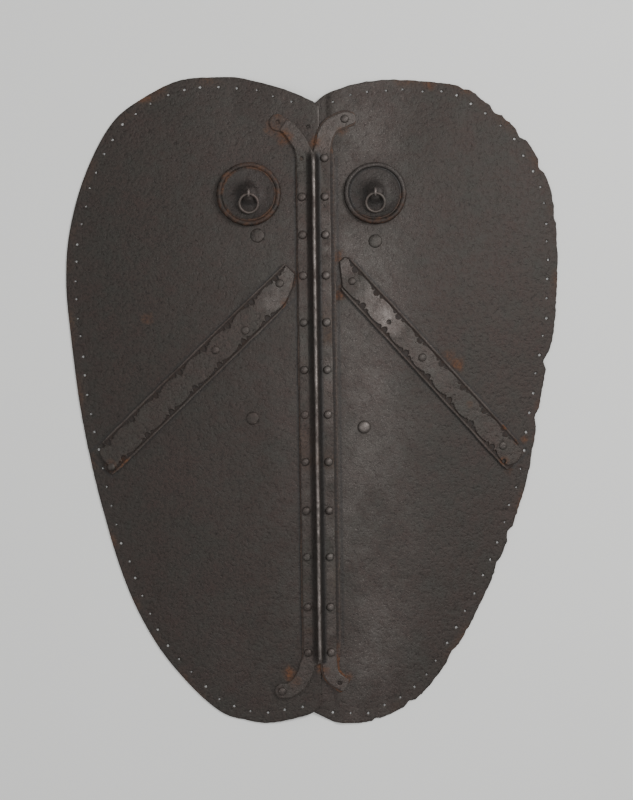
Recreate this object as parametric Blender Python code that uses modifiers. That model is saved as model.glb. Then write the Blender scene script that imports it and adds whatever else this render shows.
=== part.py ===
"""A two-lobed iron shield, an adarga, lying on its back with its front face up.

Two forged plates are lapped along the middle, under a folded keel with forked ends.
Two slanting straps, two roundels with rings and four large studs are riveted to them.

Metres, +Z up. X runs across the shield, and Y along the keel towards the two lobes.
The origin is under the middle of the shield, on the surface that the plates' rims rest on.
"""

import math
from bisect import bisect_left

import bmesh
import bpy
from mathutils import Matrix, Vector

# Clearances
GAP = 0.0003  # between sheets and heads that lie on one another
HOLE_CLEARANCE = 0.0003  # between a shank and its hole

# The two plates, seen from the front. An edge point is a share of the reach and of the half height.
HALF_HEIGHT = 0.4015
LEFT_REACH = 0.308  # from the keel's line to the left plate's outermost point
RIGHT_REACH = 0.301
PLATE_THICKNESS = 0.002
CROWN = 0.036  # rise of the front face from the rims to the middle
CROWN_FULLNESS = 1.7  # 2 is a round bowl, 1 a tent
NOTCH_HALF_WIDTH = 0.1  # the crown bridges the two notches over this width
NOTCH_REACH = 1.041 * HALF_HEIGHT  # and runs out this far there, which lifts the notches off the floor
LAP_TOP = 0.008  # the left plate's inner edge, past the keel's line
LAP_FOOT = 0.0015
LAP_CORNER_DROP = 0.007  # the left plate's inner corners, below its notch points
LAP_HIDDEN = 0.008  # the right plate's inner edge, under the left one
LAP_BEND = 0.012  # the left plate follows the lap closely from here inwards
JOGGLE_START = 0.015  # the right plate steps down between these two lines
JOGGLE_END = 0.024
BEND_SPACING = 0.054
EDGE_POINTS = 38

LEFT_EDGE = (
    (0.0, 0.922), (0.114, 0.960), (0.286, 0.996), (0.390, 1.0), (0.531, 0.992), (0.669, 0.944),
    (0.807, 0.863), (0.914, 0.713), (0.981, 0.544), (1.0, 0.390), (0.987, 0.226), (0.940, -0.064),
    (0.857, -0.355), (0.764, -0.581), (0.658, -0.742), (0.536, -0.864), (0.405, -0.956),
    (0.301, -0.984), (0.205, -0.994), (0.088, -0.978), (0.031, -0.963), (0.0, -0.942),
)
RIGHT_EDGE = (
    (0.0, 0.920), (0.060, 0.946), (0.127, 0.964), (0.225, 0.981), (0.345, 0.986), (0.497, 0.976),
    (0.624, 0.959), (0.706, 0.918), (0.799, 0.858), (0.880, 0.791), (0.937, 0.717), (0.980, 0.628),
    (0.999, 0.508), (1.0, 0.394), (0.985, 0.221), (0.950, 0.098), (0.917, -0.037), (0.870, -0.231),
    (0.797, -0.406), (0.707, -0.568), (0.598, -0.728), (0.467, -0.870), (0.367, -0.941),
    (0.227, -0.989), (0.120, -1.0), (0.050, -0.992), (-0.026, -0.965),
)
# Pieces broken out of the right plate's edge: direction from the middle in degrees, half width, depth
CHIPS = (
    (64.0, 0.006, 0.002), (57.4, 0.008, 0.004), (51.6, 0.007, 0.004), (45.4, 0.007, 0.004),
    (37.1, 0.007, 0.002), (9.0, 0.009, 0.004), (-5.2, 0.010, 0.003), (-35.4, 0.008, 0.004),
    (-43.0, 0.008, 0.003), (-62.8, 0.008, 0.003), (-73.7, 0.007, 0.003), (-80.2, 0.004, 0.002),
)

# The keel: a sheet folded up along its middle, with two flanges and a forked end at top and foot
KEEL_THICKNESS = 0.0012
KEEL_HALF_WIDTH = 0.0205
FOLD_HALF_WIDTH = 0.008
CREST_HALF_WIDTH = 0.0016
CREST_HEIGHT = 0.011
FOLD_TOP = 0.760 * HALF_HEIGHT
FOLD_FOOT = -0.809 * HALF_HEIGHT
FOLD_RUN_OUT = 0.008  # the crest sinks to the flanges over this length
FLANGE_TOP = 0.747 * HALF_HEIGHT
FLANGE_FOOT = -0.785 * HALF_HEIGHT

# The backing strip under the keel, seen as a thin edge beside it
BACKING_THICKNESS = 0.0014
BACKING_LEFT = 0.022
BACKING_RIGHT = 0.0255
BACKING_TAIL_SHRINK = 0.0015  # under the left tails
BACKING_TAIL_GROW = 0.002  # under the right tails

# The four tails of the fork: points on the path from the fold's end, half widths there, the tip's length
TAILS = {
    "top_left": (
        ((-0.0150, 0.0100), (-0.0230, 0.0220), (-0.0315, 0.0325), (-0.0436, 0.0386)),
        (0.0090, 0.0090, 0.0085, 0.0110),
        0.0110,
    ),
    "foot_left": (
        ((-0.0160, -0.0020), (-0.0185, -0.0120), (-0.0260, -0.0250), (-0.0380, -0.0335), (-0.0470, -0.0340)),
        (0.0090, 0.0092, 0.0090, 0.0088, 0.0092),
        0.0100,
    ),
    "foot_right": (
        ((0.0120, -0.0020), (0.0135, -0.0120), (0.0195, -0.0207), (0.0300, -0.0280)),
        (0.0090, 0.0092, 0.0092, 0.0085),
        0.0020,
    ),
    "top_right": (
        ((0.0130, 0.0120), (0.0160, 0.0230), (0.0240, 0.0340), (0.0394, 0.0411), (0.0480, 0.0420)),
        (0.0090, 0.0092, 0.0092, 0.0092, 0.0060),
        0.0050,
    ),
}
TAIL_START = {"top": FOLD_TOP, "foot": FOLD_FOOT}

# Small rivets: a low domed head, and a shank that ends flush with the plate's back
RIVET_HEAD_RADIUS = 0.0055
RIVET_HEAD_HEIGHT = 0.0028
RIVET_SHANK_RADIUS = 0.0022
RIVET_SIDES = 6
KEEL_RIVET_LEFT = -0.0145
KEEL_RIVET_RIGHT = 0.0138
# Shares of the half height
KEEL_RIVET_HEIGHTS = (
    0.742, 0.623, 0.506, 0.381, 0.237, 0.092, -0.045, -0.189, -0.339, -0.481, -0.635, -0.775,
)
LOST_LEFT_RIVET = 0  # the topmost one on the left flange is missing, and its hole is open
# From the fold's end
TAIL_RIVETS = {"top_right": (0.0394, 0.0411), "foot_left": (-0.0470, -0.0340)}
TAIL_HOLES = {"top_left": (-0.0436, 0.0386), "foot_right": (0.0241, -0.0250)}

# Large studs, two on each plate, at shares of the plate's reach and of the half height
STUD_HEAD_RADIUS = 0.0086
STUD_HEAD_HEIGHT = 0.0036
STUD_SHANK_RADIUS = 0.0040
STUD_SIDES = 12
STUDS = {
    "left_top": (-0.227, 0.507),
    "right_top": (0.2495, 0.485),
    "left_mid": (-0.2565, -0.0535),
    "right_mid": (0.1937, -0.0847),
}

# Slanting straps: a backing with turned-up edges, and a fretted strip riveted on it
STRAP_THICKNESS = 0.0014
STRAP_BEND_SPACING = 0.040
STRAP_LIP_WIDTH = 0.003
STRAP_LIP_HEIGHT = 0.0014
FRET_THICKNESS = 0.0014
FRET_INSET = 0.0012  # between the fret's widest points and the foot of the lips
FRET_FOOT_CUT = 0.0055  # the fret's corners at its foot are cut off over this length
# One side of the fret over one pitch: share of the pitch from a notch, share of the half width
FRET_MOTIF = ((0.0, 0.58), (0.12, 0.98), (0.22, 0.84), (0.5, 1.0), (0.78, 0.84), (0.88, 0.98))
# A place on a strap is a share of its length from its head, and a distance across in metres.
# The first notch has no partner on the strap's lower side, where the fret's head is one long lobe.
STRAPS = {
    "left": {
        "head_gap": 0.0006,  # between the strap's head and the keel's backing
        "head_height": 0.386,  # share of the half height
        "length": 1.0974,  # share of the plate's reach
        "slope": 223.4,  # direction of the strap's length, in degrees from X
        "half_width": 0.0200,
        "lower_side": 1,
        "outline": (
            (0.003, -0.020), (0.0, -0.001), (0.0414, 0.009), (0.1006, 0.017), (0.1627, 0.020),
            (0.9675, 0.020), (0.9941, 0.017), (1.0, 0.006), (0.9349, -0.018), (0.9083, -0.020),
        ),
        "fret_head": ((0.014, -0.0158), (0.010, -0.002), (0.045, 0.0066), (0.092, 0.0130), (0.125, 0.0155)),
        "fret_to": 0.932,
        "first_notch": 0.0651,
        "pitch": 0.1222,
        "rivets": ((0.0672, -0.0060), (0.2754, 0.0060), (0.4027, -0.0024), (0.9734, 0.0110)),
        "rivets_on_fret": 3,
        "holes": (),
    },
    "right": {
        "head_gap": 0.0015,
        "head_height": 0.417,
        "length": 1.0997,
        "slope": -48.2,
        "half_width": 0.0178,
        "lower_side": -1,
        "outline": (
            (0.0242, 0.0178), (0.0, 0.013), (0.0, 0.004), (0.0876, -0.0178), (0.9758, -0.0178),
            (0.997, -0.015), (1.0, -0.008), (0.9819, 0.005), (0.9577, 0.0148), (0.9335, 0.0178),
        ),
        "fret_head": ((0.026, 0.0136), (0.007, 0.0110), (0.007, 0.0040), (0.082, -0.0130)),
        "fret_to": 0.9396,
        "first_notch": 0.0619,
        "pitch": 0.119,
        "rivets": ((0.0876, -0.0006), (0.4719, -0.0007), (0.9178, -0.0007)),
        "rivets_on_fret": 3,
        "holes": ((0.2915, -0.0013), (0.9637, -0.0120)),
    },
}

# Roundels: a turned disc with a rounded rim, a dished floor and a domed middle
ROUNDEL_SEAT = 0.0001  # a flat roundel stands this much off the highest place under its rim
ROUNDEL_SIDES = 18
ROUNDEL_FLOOR = 0.0024
ROUNDEL_RIM_HEIGHT = 0.0062
ROUNDEL_RIM_WIDTH = 0.0064
ROUNDEL_DOME_RADIUS = 0.0170
ROUNDEL_DOME_HEIGHT = 0.0088
# Shares of the plate's reach and of the half height, and the radius
ROUNDELS = {"left": ((-0.260, 0.634), 0.0400), "right": ((0.252, 0.632), 0.0390)}

# The eye in each roundel: a narrow strip bent to an arch, with its two legs through one slot
EYE_WIDTH = 0.0026
EYE_THICKNESS = 0.0018
EYE_HALF_SPAN = 0.0056
EYE_HEIGHT = 0.0074  # above the roundel's dome
EYE_ARC_POINTS = 7

# The loose ring in each eye, leaning on the roundel
RING_RADIUS = 0.0115
RING_WIRE_RADIUS = 0.0017
RING_SEGMENTS = 16
RING_WIRE_SIDES = 6
RING_TOP_OFFSET = 0.0014  # where the ring passes the eye, towards the foot

KEEL_X = (LEFT_REACH - RIGHT_REACH) / 2
REACH = {"left": LEFT_REACH, "right": RIGHT_REACH}
KEEL_EDGE = {"left": -BACKING_LEFT, "right": BACKING_RIGHT}
U_AXIS = Vector((1, 0, 0))
V_AXIS = Vector((0, 1, 0))
SMOOTH_STEPS = 12
SNAP = 0.0004  # a bend line this near to an outline point runs through it
CUTTER_MARGIN = 0.003
NORMAL_STEP = 0.002
BED_DIRECTIONS = 24

IRON = ((0.060, 0.050, 0.044), 0.62)
WORN_IRON = ((0.110, 0.100, 0.092), 0.48)
RUSTED_IRON = ((0.120, 0.060, 0.035), 0.78)


def clear_scene():
    for item in list(bpy.data.objects):
        bpy.data.objects.remove(item)


def new_collection(name):
    collection = bpy.data.collections.new(name)
    bpy.context.scene.collection.children.link(collection)
    return collection


def give_material(item, finish):
    """Gives a piece its own material, named after it."""
    colour, roughness = finish
    material = bpy.data.materials.new(item.name)
    material.use_nodes = True
    shader = material.node_tree.nodes["Principled BSDF"]
    shader.inputs["Base Color"].default_value = (*colour, 1)
    shader.inputs["Metallic"].default_value = 0.85
    shader.inputs["Roughness"].default_value = roughness
    item.data.materials.append(material)


def add_object(name, shape, collection):
    """Turns a bmesh into an object in a collection."""
    mesh = bpy.data.meshes.new(name)
    shape.to_mesh(mesh)
    shape.free()
    item = bpy.data.objects.new(name, mesh)
    collection.objects.link(item)
    return item


def smooth_line(points):
    """Closely spaced points on a smooth curve through the given ones."""
    points = [Vector(point) for point in points]
    ends = [2 * points[0] - points[1], *points, 2 * points[-1] - points[-2]]
    fine = []
    for a, b, c, d in zip(ends, ends[1:], ends[2:], ends[3:]):
        for step in range(SMOOTH_STEPS):
            t = step / SMOOTH_STEPS
            bend = 2 * a - 5 * b + 4 * c - d
            fine.append(b + ((c - a) * t + bend * t**2 + (3 * b - a - 3 * c + d) * t**3) / 2)
    return fine + [points[-1]]


def spaced(line, count):
    """The same line with its points at equal distances."""
    lengths = [0.0]
    for a, b in zip(line, line[1:]):
        lengths.append(lengths[-1] + (b - a).length)
    result = []
    for index in range(count):
        wanted = lengths[-1] * index / (count - 1)
        right = max(1, bisect_left(lengths, wanted))
        part = (wanted - lengths[right - 1]) / (lengths[right] - lengths[right - 1])
        result.append(line[right - 1].lerp(line[right], part))
    return result


def plate_edge(shares, reach):
    """The smooth outer edge of one plate, from its top notch to its foot, about the keel's line."""
    return smooth_line([(x * reach, y * HALF_HEIGHT) for x, y in shares])


LEFT_LINE = plate_edge(LEFT_EDGE, -LEFT_REACH)
RIGHT_LINE = plate_edge(RIGHT_EDGE, RIGHT_REACH)


def direction(point):
    return math.atan2(point[1], point[0])


def rim_table():
    """The rim's direction and distance from the middle, all the way round, with the notches bridged."""
    rim = [point for point in LEFT_LINE + RIGHT_LINE if abs(point.x) > NOTCH_HALF_WIDTH]
    bridges = [(math.pi / 2, NOTCH_REACH), (-math.pi / 2, NOTCH_REACH)]
    table = sorted([(direction(point), point.length) for point in rim] + bridges)
    turn = 2 * math.pi
    before = (table[-1][0] - turn, table[-1][1])
    after = (table[0][0] + turn, table[0][1])
    return [before, *table, after]


RIM = rim_table()
RIM_DIRECTIONS = [entry[0] for entry in RIM]


def rim_distance(angle):
    right = bisect_left(RIM_DIRECTIONS, angle)
    low, high = RIM[right - 1], RIM[right]
    return low[1] + (high[1] - low[1]) * (angle - low[0]) / (high[0] - low[0])


def front_height(x, y):
    """Height of the plates' front face, for a place measured from the keel's line."""
    share = min(1.0, math.hypot(x, y) / rim_distance(math.atan2(y, x)))
    return PLATE_THICKNESS + CROWN * (1 - share**CROWN_FULLNESS)


def joggle_depth(x):
    """How far the right plate steps down to pass under the left one."""
    share = (JOGGLE_END - x) / (JOGGLE_END - JOGGLE_START)
    return (PLATE_THICKNESS + GAP) * min(1.0, max(0.0, share))


def seat(x, y, lift):
    """A frame on the shield's front with Z square to it, X across the shield, and raised by lift."""
    slope_x = (front_height(x + NORMAL_STEP, y) - front_height(x - NORMAL_STEP, y)) / (2 * NORMAL_STEP)
    slope_y = (front_height(x, y + NORMAL_STEP) - front_height(x, y - NORMAL_STEP)) / (2 * NORMAL_STEP)
    normal = Vector((-slope_x, -slope_y, 1)).normalized()
    across = Vector((1, 0, slope_x)).normalized()
    turn = Matrix((across, normal.cross(across), normal)).transposed().to_4x4()
    foot = Vector((x + KEEL_X, y, front_height(x, y)))
    return Matrix.Translation(foot + normal * lift) @ turn


def on_plate(side, across, up):
    """A place on one plate, from shares of its reach and of the half height."""
    return across * REACH[side], up * HALF_HEIGHT


def bed_rise(x, y, radius):
    """How far the front rises above its own tangent plane, along the rim of a disc laid there."""
    level = seat(x, y, 0.0).inverted()
    rises = [0.0]
    for index in range(BED_DIRECTIONS):
        angle = math.tau * index / BED_DIRECTIONS
        rim_x, rim_y = x + radius * math.cos(angle), y + radius * math.sin(angle)
        rises.append((level @ Vector((rim_x + KEEL_X, rim_y, front_height(rim_x, rim_y)))).z)
    return max(rises)


def stations(low, high, spacing):
    """Evenly spaced lines between two limits, no further apart than the spacing."""
    count = max(1, math.ceil((high - low) / spacing))
    return [low + (high - low) * index / count for index in range(1, count)]


# The plates, the keel and its backing all bend across the same lines, so that they lie close
LENGTHWISE_BENDS = stations(-HALF_HEIGHT, HALF_HEIGHT, BEND_SPACING)


def sheet(name, outline, u_lines, v_lines, place, lift, thickness, finish):
    """A thin sheet: a flat outline that bends along straight lines, laid on the shield.

    place turns the outline's own u and v into a place on the shield, and lift says
    how far the sheet's upper face stands above the plates' front there.
    """
    shape = bmesh.new()
    shape.faces.new([shape.verts.new((u, v, 0)) for u, v in outline])
    for axis, lines in ((U_AXIS, u_lines), (V_AXIS, v_lines)):
        for line in lines:
            bmesh.ops.bisect_plane(
                shape,
                geom=shape.verts[:] + shape.edges[:] + shape.faces[:],
                dist=SNAP,
                plane_co=axis * line,
                plane_no=axis,
            )
    bmesh.ops.triangulate(shape, faces=shape.faces[:])
    for vert in shape.verts:
        u, v = vert.co.x, vert.co.y
        x, y = place(u, v)
        vert.co = Vector((x + KEEL_X, y, front_height(x, y) + lift(u, v)))
    shape.normal_update()
    if sum(face.normal.z for face in shape.faces) < 0:
        bmesh.ops.reverse_faces(shape, faces=shape.faces[:])
    item = add_object(name, shape, PARTS)
    solid = item.modifiers.new("Thickness", "SOLIDIFY")
    solid.thickness = thickness
    solid.offset = -1
    give_material(item, finish)
    return item


def as_drawn(u, v):
    return u, v


def left_plate():
    outer = spaced(LEFT_LINE, EDGE_POINTS)
    inner_top = Vector((LAP_TOP, outer[0].y - LAP_CORNER_DROP))
    inner_foot = Vector((LAP_FOOT, outer[-1].y + LAP_CORNER_DROP))
    return sheet(
        "plate_left",
        [*outer, inner_foot, inner_top],
        [-LAP_BEND, 0.0, *stations(-LEFT_REACH, -LAP_BEND, BEND_SPACING)],
        LENGTHWISE_BENDS,
        as_drawn,
        lambda u, v: 0.0,
        PLATE_THICKNESS,
        IRON,
    )


def chipped_edge():
    """The right plate's outer edge, with a shallow three-point bite at each chip."""
    edge = [(direction(point), point) for point in RIGHT_LINE]
    points = [(direction(point), point) for point in spaced(RIGHT_LINE, EDGE_POINTS)]
    for degrees, half_width, depth in CHIPS:
        angle = math.radians(degrees)
        middle = min(edge, key=lambda entry: abs(entry[0] - angle))[1]
        spread = half_width / middle.length
        points = [entry for entry in points if abs(entry[0] - angle) > 1.4 * spread]
        for offset, cut in ((-spread, 0.0), (spread / 4, depth), (spread, 0.0)):
            near = min(edge, key=lambda entry: abs(entry[0] - angle - offset))[1]
            reach = near.length - cut
            turned = angle + offset
            points.append((turned, Vector((math.cos(turned), math.sin(turned))) * reach))
    return [point for _, point in sorted(points, key=lambda entry: -entry[0])]


def right_plate():
    outer = chipped_edge()
    inner_foot = Vector((-LAP_HIDDEN, outer[-1].y + LAP_CORNER_DROP))
    inner_top = Vector((-LAP_HIDDEN, outer[0].y - LAP_CORNER_DROP))
    return sheet(
        "plate_right",
        [*outer, inner_foot, inner_top],
        [JOGGLE_START, JOGGLE_END, *stations(JOGGLE_END, RIGHT_REACH, BEND_SPACING)],
        LENGTHWISE_BENDS,
        as_drawn,
        lambda u, v: -joggle_depth(u),
        PLATE_THICKNESS,
        IRON,
    )


def tail_sides(path, half_widths, tip_length, grow):
    """The outline of one tail, up its right side from the root, round the tip and back down its left."""
    path = [Vector(point) for point in path]
    right, left = [], []
    for index, (point, half) in enumerate(zip(path, half_widths)):
        ahead = path[min(index + 1, len(path) - 1)] - path[max(index - 1, 0)]
        aside = Vector((ahead.y, -ahead.x)).normalized()
        right.append(point + aside * (half + grow))
        left.append(point - aside * (half + grow))
    onward = (path[-1] - path[-2]).normalized()
    side = Vector((onward.y, -onward.x)) * (half_widths[-1] + grow)
    tip = onward * tip_length
    rounded = [path[-1] + side * 0.7 + tip * 0.7, path[-1] + tip, path[-1] - side * 0.7 + tip * 0.7]
    return right + rounded + left[::-1]


def forked_outline(left_edge, right_edge, left_grow, right_grow):
    """The keel's outline with its four tails, anticlockwise from the crotch at the top."""
    grow = {"left": left_grow, "right": right_grow}

    def tail(name):
        path, half_widths, tip_length = TAILS[name]
        end, side = name.split("_")
        placed = [(x, y + TAIL_START[end]) for x, y in path]
        return tail_sides(placed, half_widths, tip_length, grow[side])

    return [
        Vector((0, FOLD_TOP)),
        *tail("top_left"),
        Vector((-left_edge, FLANGE_TOP)),
        Vector((-left_edge, FLANGE_FOOT)),
        *tail("foot_left"),
        Vector((0, FOLD_FOOT)),
        *tail("foot_right"),
        Vector((right_edge, FLANGE_FOOT)),
        Vector((right_edge, FLANGE_TOP)),
        *tail("top_right"),
    ]


BACKING_LIFT = GAP + BACKING_THICKNESS
KEEL_LIFT = BACKING_LIFT + GAP + KEEL_THICKNESS


def keel_lift(u, v):
    """The keel's upper face: flat flanges, and a fold that rises to the crest and runs out at both ends."""
    rise = (FOLD_HALF_WIDTH - abs(u)) / (FOLD_HALF_WIDTH - CREST_HALF_WIDTH)
    run_out = min(FOLD_TOP - v, v - FOLD_FOOT) / FOLD_RUN_OUT
    return KEEL_LIFT + CREST_HEIGHT * min(1.0, max(0.0, rise)) * min(1.0, max(0.0, run_out))


def keel_and_backing():
    backing = sheet(
        "keel_backing",
        forked_outline(BACKING_LEFT, BACKING_RIGHT, -BACKING_TAIL_SHRINK, BACKING_TAIL_GROW),
        [0.0],
        LENGTHWISE_BENDS,
        as_drawn,
        lambda u, v: BACKING_LIFT,
        BACKING_THICKNESS,
        RUSTED_IRON,
    )
    keel = sheet(
        "keel",
        forked_outline(KEEL_HALF_WIDTH, KEEL_HALF_WIDTH, 0.0, 0.0),
        [-FOLD_HALF_WIDTH, -CREST_HALF_WIDTH, CREST_HALF_WIDTH, FOLD_HALF_WIDTH],
        [*LENGTHWISE_BENDS, FOLD_FOOT + FOLD_RUN_OUT, FOLD_TOP - FOLD_RUN_OUT],
        as_drawn,
        keel_lift,
        KEEL_THICKNESS,
        WORN_IRON,
    )
    return backing, keel


STRAP_LIFT = GAP + STRAP_THICKNESS
FRET_LIFT = STRAP_LIFT + GAP + FRET_THICKNESS


def strap_length(side, strap):
    return strap["length"] * REACH[side]


def strap_place(side, strap):
    """Turns a place along and across a strap, from its head, into one on the shield."""
    turn = math.radians(strap["slope"])
    gap = math.copysign(strap["head_gap"], KEEL_EDGE[side])
    head_x, head_y = KEEL_EDGE[side] + gap, strap["head_height"] * HALF_HEIGHT

    def place(u, v):
        x = head_x + u * math.cos(turn) - v * math.sin(turn)
        y = head_y + u * math.sin(turn) + v * math.cos(turn)
        return x, y

    return place


def fret_side(strap, length, half, notch):
    """One side of the fret, as distances along and out: lobes between pairs of spikes with a round notch."""
    pitch = strap["pitch"] * length
    end = strap["fret_to"] * length
    side = []
    while notch < end:
        side += [(notch + share * pitch, width * half) for share, width in FRET_MOTIF]
        notch += pitch
    return [(u, width) for u, width in side if u < end]


def fret_outline(strap, length):
    half = strap["half_width"] - STRAP_LIP_WIDTH - FRET_INSET
    lower = strap["lower_side"]
    first = strap["first_notch"] * length
    head = [(share * length, v) for share, v in strap["fret_head"]]
    upper_side = [(u, -lower * width) for u, width in fret_side(strap, length, half, first)]
    second = first + strap["pitch"] * length
    lower_side = [(u, lower * width) for u, width in fret_side(strap, length, half, second)]
    foot = strap["fret_to"] * length + FRET_FOOT_CUT
    return [*upper_side[::-1], *head, *lower_side, (foot, lower * half / 2), (foot, -lower * half / 2)]


def strap_pieces(side, strap):
    place = strap_place(side, strap)
    length = strap_length(side, strap)
    lip_foot = strap["half_width"] - STRAP_LIP_WIDTH
    bends = stations(0.0, length, STRAP_BEND_SPACING)

    def lip(u, v):
        return STRAP_LIFT + STRAP_LIP_HEIGHT * min(1.0, max(0.0, (abs(v) - lip_foot) / STRAP_LIP_WIDTH))

    backing = sheet(
        f"strap_{side}_backing",
        [(share * length, v) for share, v in strap["outline"]],
        bends,
        [-lip_foot, lip_foot],
        place,
        lip,
        STRAP_THICKNESS,
        RUSTED_IRON,
    )
    fret = sheet(
        f"strap_{side}_fret",
        fret_outline(strap, length),
        bends,
        [],
        place,
        lambda u, v: FRET_LIFT,
        FRET_THICKNESS,
        WORN_IRON,
    )
    return backing, fret


def turned(name, profile, sides, matrix, finish):
    """A piece turned about its own Z, from a profile that runs down its outer side."""
    shape = bmesh.new()
    verts = [shape.verts.new((radius, 0, height)) for radius, height in profile]
    for a, b in zip(verts, verts[1:]):
        shape.edges.new((a, b))
    item = add_object(name, shape, PARTS)
    screw = item.modifiers.new("Turn", "SCREW")
    screw.axis = "Z"
    screw.angle = math.tau
    screw.steps = sides
    screw.render_steps = sides
    screw.use_merge_vertices = True
    screw.merge_threshold = 0.00001
    screw.use_smooth_shade = True
    item.matrix_world = matrix
    give_material(item, finish)
    return item


def headed_pin(name, x, y, lift, depth, head, shank_radius, sides, finish):
    """A domed head on a shank that reaches down by depth below the head."""
    head_radius, head_height = head
    profile = (
        (0, head_height),
        (head_radius * 0.6, head_height * 0.78),
        (head_radius, 0),
        (shank_radius, 0),
        (shank_radius, -depth),
        (0, -depth),
    )
    item = turned(name, profile, sides, seat(x, y, lift + GAP), finish)
    HOLES.append((x, y, shank_radius + HOLE_CLEARANCE, sides))
    return item


def rivet(name, x, y, lift, finish=IRON):
    """A small rivet through everything below its seat, to the plate's back."""
    step = joggle_depth(x) if x > LAP_TOP else 0.0
    depth = lift + GAP + PLATE_THICKNESS + step
    head = (RIVET_HEAD_RADIUS, RIVET_HEAD_HEIGHT)
    return headed_pin(name, x, y, lift, depth, head, RIVET_SHANK_RADIUS, RIVET_SIDES, finish)


def empty_hole(x, y):
    HOLES.append((x, y, RIVET_SHANK_RADIUS + HOLE_CLEARANCE, RIVET_SIDES))


def keel_rivets():
    for number, share in enumerate(KEEL_RIVET_HEIGHTS):
        y = share * HALF_HEIGHT
        rivet(f"keel_rivet_right_{number + 1:02}", KEEL_RIVET_RIGHT, y, KEEL_LIFT)
        if number == LOST_LEFT_RIVET:
            empty_hole(KEEL_RIVET_LEFT, y)
        else:
            rivet(f"keel_rivet_left_{number + 1:02}", KEEL_RIVET_LEFT, y, KEEL_LIFT)
    for name, (x, y) in TAIL_RIVETS.items():
        rivet(f"tail_rivet_{name}", x, y + TAIL_START[name.split("_")[0]], KEEL_LIFT)
    for name, (x, y) in TAIL_HOLES.items():
        empty_hole(x, y + TAIL_START[name.split("_")[0]])


def strap_rivets(side, strap):
    place = strap_place(side, strap)
    length = strap_length(side, strap)
    for number, (share, v) in enumerate(strap["rivets"]):
        on_fret = number < strap["rivets_on_fret"]
        lift, finish = (FRET_LIFT, IRON) if on_fret else (STRAP_LIFT, RUSTED_IRON)
        rivet(f"strap_{side}_rivet_{number + 1}", *place(share * length, v), lift, finish)
    for share, v in strap["holes"]:
        empty_hole(*place(share * length, v))


def large_studs():
    depth = GAP + PLATE_THICKNESS
    head = (STUD_HEAD_RADIUS, STUD_HEAD_HEIGHT)
    for name, (across, up) in STUDS.items():
        x, y = on_plate(name.split("_")[0], across, up)
        headed_pin(f"stud_{name}", x, y, 0.0, depth, head, STUD_SHANK_RADIUS, STUD_SIDES, IRON)


def roundel(side, x, y, radius, lift):
    """A raised rounded rim, a floor, and a dome in the middle, solid and flat below."""
    floor_edge = radius - ROUNDEL_RIM_WIDTH
    dome_rise = ROUNDEL_DOME_HEIGHT - ROUNDEL_FLOOR
    profile = (
        (0, ROUNDEL_DOME_HEIGHT),
        (ROUNDEL_DOME_RADIUS * 0.5, ROUNDEL_FLOOR + dome_rise * 0.82),
        (ROUNDEL_DOME_RADIUS * 0.82, ROUNDEL_FLOOR + dome_rise * 0.38),
        (ROUNDEL_DOME_RADIUS, ROUNDEL_FLOOR),
        (floor_edge, ROUNDEL_FLOOR),
        (floor_edge + ROUNDEL_RIM_WIDTH * 0.25, ROUNDEL_RIM_HEIGHT * 0.9),
        (floor_edge + ROUNDEL_RIM_WIDTH * 0.55, ROUNDEL_RIM_HEIGHT),
        (radius - ROUNDEL_RIM_WIDTH * 0.12, ROUNDEL_RIM_HEIGHT * 0.72),
        (radius, 0),
        (0, 0),
    )
    return turned(f"roundel_{side}", profile, ROUNDEL_SIDES, seat(x, y, lift), IRON)


def eye(side, x, y, lift):
    """The bent strip: an arch drawn flat, given its width and stood up along the keel's direction."""
    inner = EYE_HALF_SPAN - EYE_THICKNESS
    leg_foot = -PLATE_THICKNESS - lift
    spring = ROUNDEL_DOME_HEIGHT + EYE_HEIGHT - EYE_HALF_SPAN
    angles = [math.pi * index / (EYE_ARC_POINTS - 1) for index in range(EYE_ARC_POINTS)]
    outside = [(EYE_HALF_SPAN * math.cos(a), spring + EYE_HALF_SPAN * math.sin(a)) for a in angles]
    inside = [(inner * math.cos(a), spring + inner * math.sin(a)) for a in reversed(angles)]
    outer_line = [(EYE_HALF_SPAN, leg_foot), *outside, (-EYE_HALF_SPAN, leg_foot)]
    inner_line = [(-inner, leg_foot), *inside, (inner, leg_foot)]
    points = outer_line + inner_line
    curve = bpy.data.curves.new(f"eye_{side}", "CURVE")
    curve.dimensions = "2D"
    curve.fill_mode = "BOTH"
    curve.extrude = EYE_WIDTH / 2
    spline = curve.splines.new("POLY")
    spline.points.add(len(points) - 1)
    for point, (along, up) in zip(spline.points, points):
        point.co = (along, up, 0, 1)
    spline.use_cyclic_u = True
    item = bpy.data.objects.new(curve.name, curve)
    PARTS.objects.link(item)
    stand_up = Matrix.Rotation(math.pi / 2, 4, "Z") @ Matrix.Rotation(math.pi / 2, 4, "X")
    item.matrix_world = seat(x, y, lift) @ stand_up
    give_material(item, WORN_IRON)
    return item


def ring(side, x, y, lift):
    """The ring hangs in the eye towards the foot, and its far end rests on the roundel's floor."""
    top = ROUNDEL_DOME_HEIGHT + GAP + RING_WIRE_RADIUS
    foot = ROUNDEL_FLOOR + GAP + RING_WIRE_RADIUS
    tilt = math.asin((top - foot) / (2 * RING_RADIUS))
    bpy.ops.mesh.primitive_torus_add(
        major_segments=RING_SEGMENTS,
        minor_segments=RING_WIRE_SIDES,
        major_radius=RING_RADIUS,
        minor_radius=RING_WIRE_RADIUS,
    )
    item = bpy.context.object
    item.name = f"ring_{side}"
    for collection in list(item.users_collection):
        collection.objects.unlink(item)
    PARTS.objects.link(item)
    item.data.shade_smooth()
    hang = Matrix.Translation((0, -RING_TOP_OFFSET, top)) @ Matrix.Rotation(tilt, 4, "X")
    item.matrix_world = seat(x, y, lift) @ hang @ Matrix.Translation((0, -RING_RADIUS, 0))
    give_material(item, WORN_IRON)
    return item


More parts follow.
